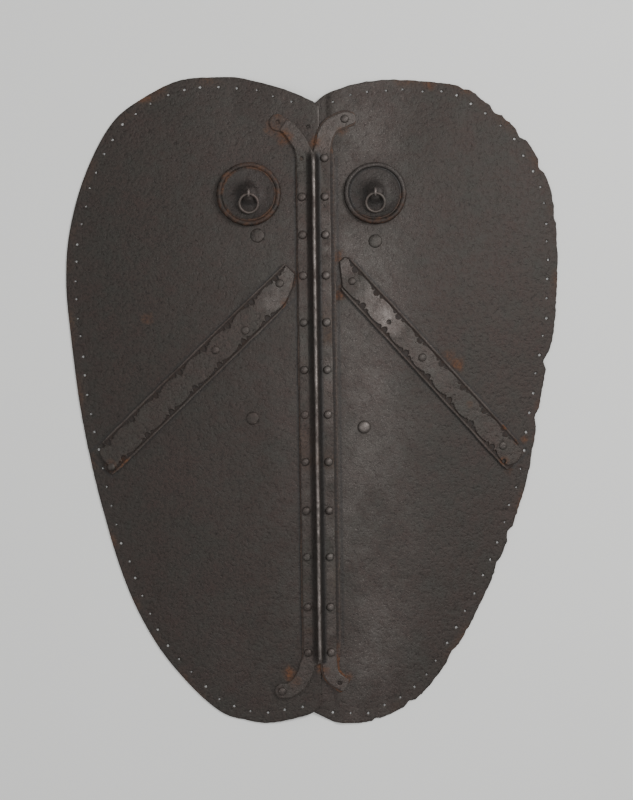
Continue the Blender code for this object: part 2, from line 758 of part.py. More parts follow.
def shank_cutter():
    """All the rivet and stud holes, as one cutter of separate round pins square to the shield."""
    shape = bmesh.new()
    reach = 2 * (KEEL_LIFT + PLATE_THICKNESS + CUTTER_MARGIN)
    quarter_turn = Matrix.Rotation(math.pi / 2, 4, "Z")  # sets the corners in line with the shanks'
    for x, y, radius, sides in HOLES:
        bmesh.ops.create_cone(
            shape,
            cap_ends=True,
            segments=sides,
            radius1=radius,
            radius2=radius,
            depth=reach,
            matrix=seat(x, y, 0.0) @ quarter_turn,
        )
    return hide_cutter(add_object("shank_holes", shape, CUTTERS))


def slot_cutter():
    """The two slots for the eyes' legs."""
    shape = bmesh.new()
    size = Vector((EYE_WIDTH, 2 * EYE_HALF_SPAN, 0)) + Vector((1, 1, 0)) * (2 * HOLE_CLEARANCE)
    size.z = 2 * (ROUNDEL_DOME_HEIGHT + CUTTER_MARGIN)
    for side, (place, _) in ROUNDELS.items():
        middle = seat(*on_plate(side, *place), 0.0)
        bmesh.ops.create_cube(shape, size=1, matrix=middle @ Matrix.Diagonal((*size, 1)))
    return hide_cutter(add_object("eye_slots", shape, CUTTERS))


def hide_cutter(item):
    item.hide_render = True
    item.display_type = "WIRE"
    return item


def pierce(item, cutter):
    cut = item.modifiers.new("Holes", "BOOLEAN")
    cut.operation = "DIFFERENCE"
    cut.solver = "EXACT"
    cut.object = cutter


clear_scene()
PARTS = new_collection("adarga")
CUTTERS = new_collection("cutters")
HOLES = []

plates = [left_plate(), right_plate()]
riveted = [*plates, *keel_and_backing()]
keel_rivets()
for strap_side, strap_sizes in STRAPS.items():
    riveted += strap_pieces(strap_side, strap_sizes)
    strap_rivets(strap_side, strap_sizes)
large_studs()
roundels = []
for roundel_side, (roundel_place, roundel_radius) in ROUNDELS.items():
    roundel_x, roundel_y = on_plate(roundel_side, *roundel_place)
    roundel_lift = ROUNDEL_SEAT + bed_rise(roundel_x, roundel_y, roundel_radius)
    roundels.append(roundel(roundel_side, roundel_x, roundel_y, roundel_radius, roundel_lift))
    eye(roundel_side, roundel_x, roundel_y, roundel_lift)
    ring(roundel_side, roundel_x, roundel_y, roundel_lift)

shank_holes = shank_cutter()
for piece in riveted:
    pierce(piece, shank_holes)
eye_slots = slot_cutter()
for piece in plates + roundels:
    pierce(piece, eye_slots)
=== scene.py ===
import math

import bpy
import numpy as np
from mathutils import Matrix, Vector
from mathutils.geometry import delaunay_2d_cdt


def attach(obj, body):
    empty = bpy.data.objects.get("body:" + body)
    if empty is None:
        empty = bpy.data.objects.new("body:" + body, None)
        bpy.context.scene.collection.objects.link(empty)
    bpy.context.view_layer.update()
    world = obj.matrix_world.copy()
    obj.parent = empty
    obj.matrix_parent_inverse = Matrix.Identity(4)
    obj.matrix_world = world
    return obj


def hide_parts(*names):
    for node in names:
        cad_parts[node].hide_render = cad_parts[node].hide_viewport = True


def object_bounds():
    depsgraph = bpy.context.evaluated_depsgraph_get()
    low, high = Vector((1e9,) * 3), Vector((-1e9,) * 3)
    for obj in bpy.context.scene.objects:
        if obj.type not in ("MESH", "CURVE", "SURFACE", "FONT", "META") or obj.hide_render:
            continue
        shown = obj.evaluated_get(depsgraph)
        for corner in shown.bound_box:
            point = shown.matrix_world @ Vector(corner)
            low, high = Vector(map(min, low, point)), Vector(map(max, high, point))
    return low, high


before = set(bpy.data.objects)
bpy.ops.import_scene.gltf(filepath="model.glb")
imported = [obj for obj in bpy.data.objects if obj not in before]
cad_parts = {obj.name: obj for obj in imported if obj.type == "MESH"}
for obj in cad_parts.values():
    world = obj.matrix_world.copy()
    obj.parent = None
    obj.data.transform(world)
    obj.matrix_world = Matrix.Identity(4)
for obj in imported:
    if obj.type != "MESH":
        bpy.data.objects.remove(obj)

cad_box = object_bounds()


# The two plates. Each is one lobe of sheet iron 2 mm thick, hammered into a low bowl and cut to
# its outline, with a row of small lacing holes near the edge that once held a lining. The left
# plate laps over the right one along the middle, where the right one steps down to pass under it.
HALF_HEIGHT = 0.4015
LEFT_REACH = 0.308
RIGHT_REACH = 0.301
KEEL_X = (LEFT_REACH - RIGHT_REACH) / 2
PLATE_THICKNESS = 0.002
GAP = 0.0003
CROWN = 0.036
CROWN_FULLNESS = 1.7
NOTCH_HALF_WIDTH = 0.1
NOTCH_REACH = 1.041 * HALF_HEIGHT
LAP_TOP = 0.008
LAP_FOOT = 0.0015
LAP_CORNER_DROP = 0.007
LAP_HIDDEN = 0.008
JOGGLE_START = 0.015
JOGGLE_END = 0.024
PLATE_GRID = 0.0023
EDGE_SPACING = 0.0016
EDGE_LOSS = 0.0002  # what rust has taken off the edge all round
RUBBED_EDGE = 0.3  # how much brighter iron is rubbed along its cut edges
RELIEF = 0.0009  # the deepest that the hammered face dips below a true bowl
LACING_INSET = 0.0125
LACING_PITCH = 0.0240
LACING_RADIUS = 0.0014
# An edge point is a share of the plate's reach and of the half height, from the top notch down
LEFT_EDGE = (
    (0.0, 0.922), (0.114, 0.960), (0.286, 0.996), (0.390, 1.0), (0.531, 0.992), (0.669, 0.944),
    (0.807, 0.863), (0.914, 0.713), (0.981, 0.544), (1.0, 0.390), (0.987, 0.226), (0.940, -0.064),
    (0.857, -0.355), (0.764, -0.581), (0.658, -0.742), (0.536, -0.864), (0.405, -0.956),
    (0.301, -0.984), (0.205, -0.994), (0.088, -0.978), (0.031, -0.963), (0.0, -0.942),
)
RIGHT_EDGE = (
    (0.0, 0.912), (0.014, 0.920), (0.060, 0.945), (0.127, 0.964), (0.225, 0.981), (0.345, 0.986), (0.497, 0.976),
    (0.624, 0.959), (0.706, 0.918), (0.799, 0.858), (0.880, 0.791), (0.937, 0.717), (0.980, 0.628),
    (0.999, 0.508), (1.0, 0.394), (0.985, 0.221), (0.950, 0.098), (0.917, -0.037), (0.870, -0.231),
    (0.797, -0.406), (0.707, -0.568), (0.598, -0.728), (0.467, -0.870), (0.367, -0.941),
    (0.227, -0.989), (0.120, -1.0), (0.050, -0.992), (-0.026, -0.965),
)
# Pieces broken out of the right plate's edge: direction from the middle in degrees, half width, depth
CHIPS = (
    (64.0, 0.006, 0.002), (57.4, 0.008, 0.004), (51.6, 0.007, 0.004), (45.4, 0.007, 0.004),
    (37.1, 0.007, 0.002), (9.0, 0.009, 0.004), (-5.2, 0.010, 0.003), (-35.4, 0.008, 0.004),
    (-43.0, 0.008, 0.003), (-62.8, 0.008, 0.003), (-73.7, 0.007, 0.003), (-80.2, 0.004, 0.002),
)
# Rust stains on the plates: place from the middle, radius, strength
PLATE_STAINS = (
    (-0.208, 0.378, 0.009, 0.6), (0.190, 0.386, 0.010, 0.6), (0.146, 0.392, 0.008, 0.6),
    (-0.208, 0.104, 0.006, 0.5), (0.164, 0.052, 0.008, 0.5), (0.174, 0.042, 0.008, 0.6),
    (0.288, 0.286, 0.006, 0.4), (-0.036, 0.326, 0.009, 0.9), (-0.050, 0.338, 0.008, 0.5),
    (0.036, 0.332, 0.006, 0.5), (0.002, 0.318, 0.006, 0.8), (-0.028, 0.150, 0.008, 0.9),
    (0.029, 0.176, 0.007, 0.7), (0.031, 0.130, 0.007, 0.7), (0.035, -0.341, 0.005, 0.8),
    (-0.038, -0.338, 0.008, 0.8), (-0.030, -0.346, 0.006, 0.6), (-0.226, -0.058, 0.005, 0.5),
    (0.236, -0.090, 0.005, 0.6), (0.256, -0.052, 0.004, 0.5), (0.003, -0.333, 0.006, 0.8),
)


def smooth_line(points, steps=12):
    """Closely spaced points on a smooth curve through the given ones."""
    points = [np.array(point, float) for point in points]
    ends = [2 * points[0] - points[1], *points, 2 * points[-1] - points[-2]]
    fine = []
    for a, b, c, d in zip(ends, ends[1:], ends[2:], ends[3:]):
        for t in np.arange(steps) / steps:
            bend = 2 * a - 5 * b + 4 * c - d
            fine.append(b + ((c - a) * t + bend * t**2 + (3 * b - a - 3 * c + d) * t**3) / 2)
    return np.array([*fine, points[-1]])


def evenly(line, gap):
    """The same line with its points about a gap apart."""
    line = np.array(line, float)
    steps = np.hypot(*np.diff(line[:, :2], axis=0).T)
    length = np.concatenate([[0], np.cumsum(steps)])
    wanted = np.linspace(0, length[-1], max(2, round(length[-1] / gap) + 1))
    return np.column_stack([np.interp(wanted, length, column) for column in line.T])


def wander(x, y, size, seed):
    """Soft random relief between -1 and 1, with bumps of about the given size."""
    table = np.random.RandomState(seed).uniform(-1, 1, (256, 256))
    u, v = np.asarray(x) / size + 999.5, np.asarray(y) / size + 999.5
    column, row = np.floor(u).astype(int), np.floor(v).astype(int)
    s, t = u - column, v - row
    s, t = s * s * (3 - 2 * s), t * t * (3 - 2 * t)
    near, far = column % 256, (column + 1) % 256
    low, high = row % 256, (row + 1) % 256
    below = table[near, low] * (1 - s) + table[far, low] * s
    above = table[near, high] * (1 - s) + table[far, high] * s
    return below * (1 - t) + above * t


LEFT_LINE = smooth_line([(-x * LEFT_REACH, y * HALF_HEIGHT) for x, y in LEFT_EDGE])
RIGHT_LINE = smooth_line([(x * RIGHT_REACH, y * HALF_HEIGHT) for x, y in RIGHT_EDGE])


def rim_distances():
    """Directions and distances of the rim from the middle, with the two notches bridged."""
    rim = np.concatenate([LEFT_LINE, RIGHT_LINE])
    rim = rim[abs(rim[:, 0]) > NOTCH_HALF_WIDTH]
    angles = np.concatenate([np.arctan2(rim[:, 1], rim[:, 0]), [math.pi / 2, -math.pi / 2]])
    reaches = np.concatenate([np.hypot(*rim.T), [NOTCH_REACH, NOTCH_REACH]])
    order = np.argsort(angles)
    return angles[order], reaches[order]


RIM_ANGLES, RIM_REACHES = rim_distances()


def front_height(x, y):
    """Height of the plates' front face, for places measured from the keel's line."""
    reach = np.interp(np.arctan2(y, x), RIM_ANGLES, RIM_REACHES, period=math.tau)
    share = np.minimum(1.0, np.hypot(x, y) / reach)
    return PLATE_THICKNESS + CROWN * (1 - share**CROWN_FULLNESS)


def seat(x, y, lift):
    """A frame on the shield's front with Z square to it and X across, raised by lift."""
    step = 0.002
    slope_x = (front_height(x + step, y) - front_height(x - step, y)) / (2 * step)
    slope_y = (front_height(x, y + step) - front_height(x, y - step)) / (2 * step)
    normal = Vector((-slope_x, -slope_y, 1)).normalized()
    across = Vector((1, 0, slope_x)).normalized()
    turn = Matrix((across, normal.cross(across), normal)).transposed().to_4x4()
    foot = Vector((x + KEEL_X, y, front_height(x, y)))
    return Matrix.Translation(foot + normal * lift) @ turn


def add_piece(name, verts, faces, **marks):
    """A smooth mesh object, with a value at each vertex for wear and painted highlight, for rust and for painted
    shade.
    """
    mesh = bpy.data.meshes.new(name)
    mesh.from_pydata([tuple(vert) for vert in verts], [], [tuple(face) for face in faces])
    mesh.shade_smooth()
    for mark in ("wear", "rust", "painted_shade"):
        values = np.broadcast_to(marks.get(mark, 0.0), len(verts)).astype(np.float32)
        mesh.attributes.new(mark, "FLOAT", "POINT").data.foreach_set("value", np.clip(values, 0, 1))
    mesh.validate()
    piece = bpy.data.objects.new(name, mesh)
    bpy.context.scene.collection.objects.link(piece)
    return piece


def ring_of(x, y, radius, sides=10):
    """A small round hole's outline."""
    angles = np.arange(sides) * math.tau / sides
    return np.column_stack([x + radius * np.cos(angles), y + radius * np.sin(angles)])


def hex_grid(low, high, spacing):
    """Points of a three-way grid over a rectangle."""
    grid = []
    for number, row in enumerate(np.arange(low[1], high[1], spacing * math.sqrt(3) / 2)):
        start = low[0] + (number % 2) * spacing / 2
        grid += [(x, row) for x in np.arange(start, high[0], spacing)]
    return np.array(grid)


def clear_of(points, border, distance):
    """The points that keep this far from every border point."""
    kept = []
    for start in range(0, len(points), 2000):
        some = points[start : start + 2000]
        gaps = np.hypot(some[:, :1] - border[:, 0], some[:, 1:] - border[:, 1]).min(1)
        kept.append(some[gaps > distance])
    return np.concatenate(kept)


def cut_sheet(name, outline, holes, grid, place, lift, thickness, marks, ease=0.0004):
    """A sheet cut to its outline and holes, laid on the shield and given its thickness.

    place() puts flat places on the shield, lift() says how high the upper face stands above the
    plates' front there, marks() gives the wear and painted highlight, the rust and the painted shade,
    and ease rounds the edges.
    """
    loops = [np.array(outline), *[ring_of(*hole) for hole in holes]]
    border = np.concatenate(loops)
    edges, first = [], 0
    for loop in loops:
        edges += [(first + k, first + (k + 1) % len(loop)) for k in range(len(loop))]
        first += len(loop)
    spacing = np.median(np.hypot(*(loops[0] - np.roll(loops[0], 1, 0)).T))
    grid = clear_of(np.array(grid), border, 0.55 * spacing)
    points = [Vector(point) for point in np.concatenate([border, grid])]
    flat, _, tris, *_ = delaunay_2d_cdt(points, edges, [list(range(len(outline)))], 1, 1e-7)
    flat, tris = np.array([tuple(point) for point in flat]), np.array(tris)
    middle = flat[tris].mean(1)
    for x, y, radius, *_ in holes:
        outside = np.hypot(middle[:, 0] - x, middle[:, 1] - y) > radius * 0.93
        tris, middle = tris[outside], middle[outside]
    used, tris = np.unique(tris, return_inverse=True)
    flat, tris = flat[used], tris.reshape(-1, 3)
    a, b, c = (flat[tris[:, k]] for k in range(3))
    turned_over = (b - a)[:, 0] * (c - a)[:, 1] < (b - a)[:, 1] * (c - a)[:, 0]
    tris[turned_over] = tris[turned_over][:, ::-1]
    count = len(flat)

    directed = np.concatenate([tris[:, [0, 1]], tris[:, [1, 2]], tris[:, [2, 0]]])
    forward, backward = directed @ [count, 1], directed @ [1, count]
    rim = directed[~np.isin(forward, backward)]
    along = flat[rim[:, 1]] - flat[rim[:, 0]]
    aside = np.column_stack([along[:, 1], -along[:, 0]]) / np.hypot(*along.T)[:, None]
    out = np.zeros((count, 2))
    np.add.at(out, rim[:, 0], aside)
    np.add.at(out, rim[:, 1], aside)
    size = np.hypot(*out.T)[:, None]
    out = np.where(size > 0.2, out / np.maximum(size, 1e-9), 0)

    def laid(u, v):
        x, y = place(u, v)
        return np.column_stack([x + KEEL_X, y, front_height(x, y) + lift(u, v)])

    eased = flat - out * ease
    front = laid(*eased.T)
    a, b, c = (front[tris[:, k]] for k in range(3))
    face_normals = np.cross(b - a, c - a)
    normals = np.zeros_like(front)
    for k in range(3):
        np.add.at(normals, tris[:, k], face_normals)
    normals /= np.linalg.norm(normals, axis=1)[:, None]
    rim_verts = np.unique(rim)
    edge = laid(*flat[rim_verts].T)
    upper = edge - normals[rim_verts] * thickness * 0.3
    lower = edge - normals[rim_verts] * thickness * 0.7
    back = front - normals * thickness
    ring_index = np.zeros(count, int)
    ring_index[rim_verts] = np.arange(len(rim_verts))
    start, end = rim.T
    levels = [
        (start, end),
        (count + ring_index[start], count + ring_index[end]),
        (count + len(rim_verts) + ring_index[start], count + len(rim_verts) + ring_index[end]),
        (count + 2 * len(rim_verts) + start, count + 2 * len(rim_verts) + end),
    ]
    walls = [np.column_stack([p, r, s, q]) for (p, q), (r, s) in zip(levels, levels[1:])]
    faces = [*tris.tolist(), *(tris[:, ::-1] + count + 2 * len(rim_verts)).tolist()]
    for wall in walls:
        faces += wall.tolist()
    here = {mark: np.broadcast_to(values, count) for mark, values in marks(*flat.T).items()}
    spread = {m: np.concatenate([v, v[rim_verts], v[rim_verts], v]) for m, v in here.items()}
    spread["wear"][count : count + len(rim_verts)] += RUBBED_EDGE
    return add_piece(name, np.concatenate([front, upper, lower, back]), faces, **spread)


def as_drawn(u, v):
    return u, v


def hammered(x, y, seed):
    """Dips left by the hammer and by rust, never above the true bowl."""
    broad = 0.5 + 0.5 * wander(x, y, 0.065, seed)
    blows = 0.5 + 0.5 * wander(x, y, 0.021, seed + 1)
    small = 0.5 + 0.5 * wander(x, y, 0.0085, seed + 2)
    pits = np.clip(wander(x, y, 0.0062, seed + 3) - 0.5, 0, 1)
    reach = np.interp(np.arctan2(y, x), RIM_ANGLES, RIM_REACHES, period=math.tau)
    from_rim = np.clip(25 * (1 - np.hypot(x, y) / reach), 0, 1)
    return -RELIEF * (0.35 * broad + 0.3 * blows + 0.15 * small + 0.8 * pits) * from_rim


def stains(x, y, spots, seed):
    """Rust stains: round spots with ragged edges."""
    rust = np.zeros_like(x)
    for spot_x, spot_y, radius, strength in spots:
        distance = np.hypot(x - spot_x, y - spot_y) / radius
        ragged = distance + 0.35 * wander(x, y, 0.006, seed)
        rust = np.maximum(rust, strength * np.clip(1.5 - ragged, 0, 1))
    return rust


def lacing_holes(line, seed):
    """Small holes along the edge, not quite evenly set."""
    places = evenly(line, LACING_PITCH)[1:-1]
    ahead = np.gradient(places, axis=0)
    inward = np.column_stack([ahead[:, 1], -ahead[:, 0]]) / np.hypot(*ahead.T)[:, None]
    inward *= -np.sign((inward * places).sum(1))[:, None]
    draw = np.random.RandomState(seed)
    shift = draw.uniform(-0.0018, 0.0018, (len(places), 2))
    radii = LACING_RADIUS * draw.uniform(0.75, 1.2, len(places))
    middles = places + inward * LACING_INSET + shift
    return [(x, y, radius) for (x, y), radius in zip(middles, radii)]


def worn_edge(line, chips, depth, seed):
    """The cut edge as it is now: small nicks, and bites where pieces broke off."""
    line = evenly(line, EDGE_SPACING)
    reach, angle = np.hypot(*line.T), np.arctan2(line[:, 1], line[:, 0])
    around = reach * angle
    nick = abs(wander(around, reach * 0, 0.010, seed)) + 0.6 * abs(wander(around, reach * 0, 0.004, seed + 1))
    loss = depth * nick
    for degrees, half_width, bite in chips:
        offset = abs(angle - math.radians(degrees)) * reach / half_width
        loss += bite * np.clip(1.15 - offset, 0, 1) ** 0.7
    edge = np.column_stack([np.cos(angle), np.sin(angle)]) * (reach - loss - EDGE_LOSS)[:, None]
    low, high = np.array(cad_box[0])[:2], np.array(cad_box[1])[:2]
    return np.clip(edge, low + EDGE_LOSS - (KEEL_X, 0), high - EDGE_LOSS - (KEEL_X, 0))


def plate_outline(outer, inner_foot, inner_top):
    """Closes a plate's outer edge along the lap in the middle."""
    inner = evenly([outer[-1], inner_foot, inner_top, outer[0]], EDGE_SPACING * 1.6)
    return np.concatenate([outer, inner[1:-1]])


left_outer = worn_edge(LEFT_LINE, (), 0.0005, 11)
right_outer = worn_edge(RIGHT_LINE, CHIPS, 0.0013, 21)
left_top, left_foot = left_outer[0], left_outer[-1]
left_outline = plate_outline(
    left_outer, (LAP_FOOT, left_foot[1] + LAP_CORNER_DROP), (LAP_TOP, left_top[1] - LAP_CORNER_DROP)
)
right_outline = plate_outline(
    right_outer,
    (-LAP_HIDDEN, right_outer[-1][1] + LAP_CORNER_DROP),
    (-LAP_HIDDEN, right_outer[0][1] - LAP_CORNER_DROP),
)


def step_down(u):
    """How far the right plate steps down to pass under the left one."""
    share = np.clip((JOGGLE_END - u) / (JOGGLE_END - JOGGLE_START), 0, 1)
    return (PLATE_THICKNESS + GAP) * share * share * (3 - 2 * share)


def plate_marks(seed):
    def marks(x, y):
        edge = np.hypot(x, y) / np.interp(np.arctan2(y, x), RIM_ANGLES, RIM_REACHES, period=math.tau)
        patchy = np.clip(0.75 + 0.5 * wander(x, y, 0.05, seed) + 0.25 * wander(x, y, 0.012, seed + 6), 0.1, 1.2)
        # Painted sheen: the plates are lightened near the keel, most on the right plate, where the light falls most
        painted_sheen = 0.13 * np.exp(-(((x - 0.055) / 0.05) ** 2)) * (x > 0) + 0.05 * np.exp(-((x / 0.15) ** 2))
        # Painted highlight on the left plate's lap edge near its top and foot, where the edge faces the light
        lit_lap_edge = 0.35 * (x < LAP_TOP + 0.0002) * (x > LAP_TOP - 0.0016) * (abs(y) > 0.31) * (seed < 50)
        rim_rust = 0.5 * np.clip((edge - 0.965) / 0.03, 0, 1) * np.clip(wander(x, y, 0.02, seed + 4), 0, 1)
        # Painted shade: dark lines on the plates just beyond the strips' edges beside the keel
        shade_beside_keel = np.maximum(1 - abs(x + 0.0232) / 0.0022, 1 - abs(x - 0.0290) / 0.0022)
        return {
            "wear": np.maximum(painted_sheen * patchy, lit_lap_edge),
            "rust": np.maximum(stains(x, y, PLATE_STAINS, seed + 5), rim_rust),
            "painted_shade": 0.8 * np.clip(shade_beside_keel, 0, 1) * (abs(y) < 0.30),
        }

    return marks


LACING_TOP_HOLE = (-0.0060, 0.3380, 0.0021)
left_holes = [*lacing_holes(LEFT_LINE, 3), LACING_TOP_HOLE]
right_holes = lacing_holes(RIGHT_LINE, 4)
left_plate = cut_sheet(
    "left_plate",
    left_outline,
    left_holes,
    hex_grid((-LEFT_REACH, -HALF_HEIGHT), (LAP_TOP, HALF_HEIGHT), PLATE_GRID),
    as_drawn,
    lambda u, v: hammered(u, v, 31),
    PLATE_THICKNESS - 0.0002,
    plate_marks(41),
)
right_plate = cut_sheet(
    "right_plate",
    right_outline,
    right_holes,
    hex_grid((-LAP_HIDDEN, -HALF_HEIGHT), (RIGHT_REACH, HALF_HEIGHT), PLATE_GRID),
    as_drawn,
    lambda u, v: hammered(u, v, 51) - step_down(u),
    PLATE_THICKNESS - 0.0002,
    plate_marks(61),
)


def finish_nodes(name):
    """An empty material and two short ways to add and join its nodes."""
    material = bpy.data.materials.new(name)
    material.use_nodes = True
    tree = material.node_tree
    shader = tree.nodes["Principled BSDF"]

    def add(kind, **settings):
        node = tree.nodes.new(kind)
        for key, value in settings.items():
            setattr(node, key, value)
        return node

    return material, tree, shader, add


def noise_of(tree, add, place, scale, detail, roughness=0.6):
    node = add("ShaderNodeTexNoise")
    node.inputs["Scale"].default_value = scale
    node.inputs["Detail"].default_value = detail
    node.inputs["Roughness"].default_value = roughness
    tree.links.new(place, node.inputs["Vector"])
    return node.outputs["Fac"]


def sum_of(tree, add, operation, a, b, clamp=False):
    node = add("ShaderNodeMath", operation=operation, use_clamp=clamp)
    for socket, value in zip(node.inputs, (a, b)):
        if isinstance(value, (int, float)):
            socket.default_value = value
        else:
            tree.links.new(value, socket)
    return node.outputs[0]


def stretch(tree, add, value, low, high, to_low=0.0, to_high=1.0):
    node = add("ShaderNodeMapRange")
    tree.links.new(value, node.inputs["Value"])
    for key, number in (("From Min", low), ("From Max", high), ("To Min", to_low), ("To Max", to_high)):
        node.inputs[key].default_value = number
    return node.outputs["Result"]


def blended(tree, add, share, a, b):
    node = add("ShaderNodeMix", data_type="RGBA")
    tree.links.new(share, node.inputs["Factor"])
    for socket, colour in ((node.inputs[6], a), (node.inputs[7], b)):
        if isinstance(colour, tuple):
            socket.default_value = (*colour, 1)
        else:
            tree.links.new(colour, socket)
    return node.outputs[2]


DARK_IRON = (0.027, 0.021, 0.018)
BROWN_IRON = (0.063, 0.045, 0.039)
GREY_IRON = (0.054, 0.050, 0.043)
# BRIGHT_IRON is the colour of polished wear, and of painted highlights and glints
BRIGHT_IRON = (0.23, 0.20, 0.185)
DEEP_RUST = (0.045, 0.021, 0.012)
FRESH_RUST = (0.145, 0.062, 0.028)
PAINTED_SHADE_COLOUR = (0.010, 0.008, 0.007)


def forged_iron(name, tone, wear_all, rust_all, grain, roughness):
    """Old forged iron: a brown and grey patina, pits, polished places with painted highlights and glints, rust, and
    painted shade.
    """
    material, tree, shader, add = finish_nodes(name)
    place = add("ShaderNodeTexCoord").outputs["Object"]

    def mark(kind):
        return add("ShaderNodeAttribute", attribute_name=kind, attribute_type="GEOMETRY").outputs["Fac"]

    blotches = noise_of(tree, add, place, 17, 6)
    mottle = noise_of(tree, add, place, 75, 8, 0.7)
    grains = noise_of(tree, add, place, 330, 6, 0.65)
    specks = noise_of(tree, add, place, 900, 3, 0.6)
    patina = stretch(tree, add, sum_of(tree, add, "ADD", blotches, mottle), 0.80, 1.22)
    colour = blended(tree, add, patina, tuple(tone * c for c in BROWN_IRON), tuple(tone * c for c in GREY_IRON))
    shade = stretch(tree, add, grains, 0.32, 0.56)
    colour = blended(tree, add, shade, tuple(tone * c for c in DARK_IRON), colour)
    # Painted glints: fine bright specks, strongest where wear is high
    glints = stretch(tree, add, specks, 0.56, 0.74)
    glint_strength = stretch(tree, add, mark("wear"), 0.0, 0.15, 0.12, 0.75)
    colour = blended(tree, add, sum_of(tree, add, "MULTIPLY", glints, glint_strength), colour, BRIGHT_IRON)

    # Lightens the colour towards BRIGHT_IRON, for real wear and for painted highlights
    polish_and_highlight = sum_of(tree, add, "ADD", mark("wear"), wear_all)
    uneven = stretch(tree, add, mottle, 0.30, 0.68, 0.35, 1.25)
    polish_and_highlight = sum_of(tree, add, "MULTIPLY", polish_and_highlight, uneven, True)
    colour = blended(tree, add, polish_and_highlight, colour, BRIGHT_IRON)

    rusting = sum_of(tree, add, "ADD", mark("rust"), rust_all)
    rusting = sum_of(tree, add, "MULTIPLY", rusting, stretch(tree, add, mottle, 0.35, 0.60, 0.2, 1.5), True)
    rust_colour = blended(tree, add, stretch(tree, add, grains, 0.38, 0.62), DEEP_RUST, FRESH_RUST)
    colour = blended(tree, add, rusting, colour, rust_colour)
    # Painted shade: darkens the colour where the painted_shade attribute is set
    shade_share = sum_of(tree, add, "MULTIPLY", mark("painted_shade"), 1.0, True)
    colour = blended(tree, add, shade_share, colour, PAINTED_SHADE_COLOUR)
    tree.links.new(colour, shader.inputs["Base Color"])

    metal = stretch(tree, add, sum_of(tree, add, "MAXIMUM", rusting, shade_share), 0.0, 1.0, 0.55, 0.0)
    tree.links.new(metal, shader.inputs["Metallic"])
    dull = stretch(tree, add, grains, 0.3, 0.7, roughness - 0.08, roughness + 0.12)
    dull = sum_of(tree, add, "SUBTRACT", dull, stretch(tree, add, polish_and_highlight, 0.0, 1.0, 0.0, 0.16))
    dull = sum_of(tree, add, "ADD", dull, stretch(tree, add, rusting, 0.0, 1.0, 0.0, 0.3), True)
    tree.links.new(dull, shader.inputs["Roughness"])

    pits = stretch(tree, add, noise_of(tree, add, place, 210, 4, 0.55), 0.30, 0.50)
    relief = sum_of(tree, add, "ADD", pits, sum_of(tree, add, "MULTIPLY", grains, 1.6))
    bump = add("ShaderNodeBump")
    bump.inputs["Strength"].default_value = 1.0
    bump.inputs["Distance"].default_value = grain
    tree.links.new(relief, bump.inputs["Height"])
    tree.links.new(bump.outputs["Normal"], shader.inputs["Normal"])
    return material


plate_iron = forged_iron("plate iron", 0.84, 0.0, 0.0, 0.00030, 0.56)


def dress(piece, material, slot, *nodes):
    """Gives a piece its finish and its place in the frame, and puts it in the CAD nodes' stead."""
    piece.data.materials.clear()
    piece.data.materials.append(material)
    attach(piece, "root")
    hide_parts(*nodes)


dress(left_plate, plate_iron, "plate_iron", "plate_left")
dress(right_plate, plate_iron, "plate_iron", "plate_right")


# The strip under the keel. It is a thin iron strip, cut with four tails as the keel is, that covers
# the lap and is held by the keel's rivets. Its edge shows beside the right flange, and it has
# rusted where it shows.
BACKING_THICKNESS = 0.0014
BACKING_LEFT = 0.0220
BACKING_RIGHT = 0.0255
BACKING_LIFT = GAP + BACKING_THICKNESS
KEEL_HALF_WIDTH = 0.0205
FOLD_TOP = 0.760 * HALF_HEIGHT
FOLD_FOOT = -0.809 * HALF_HEIGHT
FLANGE_TOP = 0.747 * HALF_HEIGHT
FLANGE_FOOT = -0.785 * HALF_HEIGHT
STRIP_SPACING = 0.0014
EMPTY_HOLE_RADIUS = 0.0028
# Each tail: points from the fold's end, with the half width there; then the tip's length
TAILS = {
    "top_left": (
        ((-0.0150, 0.0100, 0.0090), (-0.0230, 0.0220, 0.0090), (-0.0315, 0.0325, 0.0088), (-0.0436, 0.0386, 0.0110)),
        0.0105,
    ),
    "foot_left": (
        (
            (-0.0160, -0.0020, 0.0090), (-0.0185, -0.0120, 0.0092), (-0.0260, -0.0250, 0.0090),
            (-0.0380, -0.0335, 0.0088), (-0.0470, -0.0340, 0.0092),
        ),
        0.0090,
    ),
    "foot_right": (
        ((0.0120, -0.0020, 0.0090), (0.0135, -0.0120, 0.0092), (0.0195, -0.0207, 0.0092), (0.0300, -0.0280, 0.0085)),
        0.0030,
    ),
    "top_right": (
        (
            (0.0130, 0.0120, 0.0090), (0.0160, 0.0230, 0.0092), (0.0240, 0.0340, 0.0092),
            (0.0394, 0.0411, 0.0090), (0.0480, 0.0420, 0.0068),
        ),
        0.0050,
    ),
}
TAIL_HOLES = ((-0.0436, FOLD_TOP + 0.0386), (0.0241, FOLD_FOOT - 0.0250))
LOST_RIVET = (-0.0145, 0.742 * HALF_HEIGHT)


def tail_sides(path, start_y, tip_length, grow):
    """One tail's outline, up its right side from the root, round the tip and back down its left."""
    line = smooth_line(path, 6)
    middle, half = line[:, :2] + (0, start_y), line[:, 2:] + grow
    ahead = np.gradient(middle, axis=0)
    aside = np.column_stack([ahead[:, 1], -ahead[:, 0]]) / np.hypot(*ahead.T)[:, None]
    onward = ahead[-1] / np.hypot(*ahead[-1])
    turn = np.linspace(0, math.pi, 9)[1:-1, None]
    tip = middle[-1] + aside[-1] * half[-1] * np.cos(turn) + onward * tip_length * np.sin(turn)
    return np.concatenate([middle + aside * half, tip, (middle - aside * half)[::-1]])


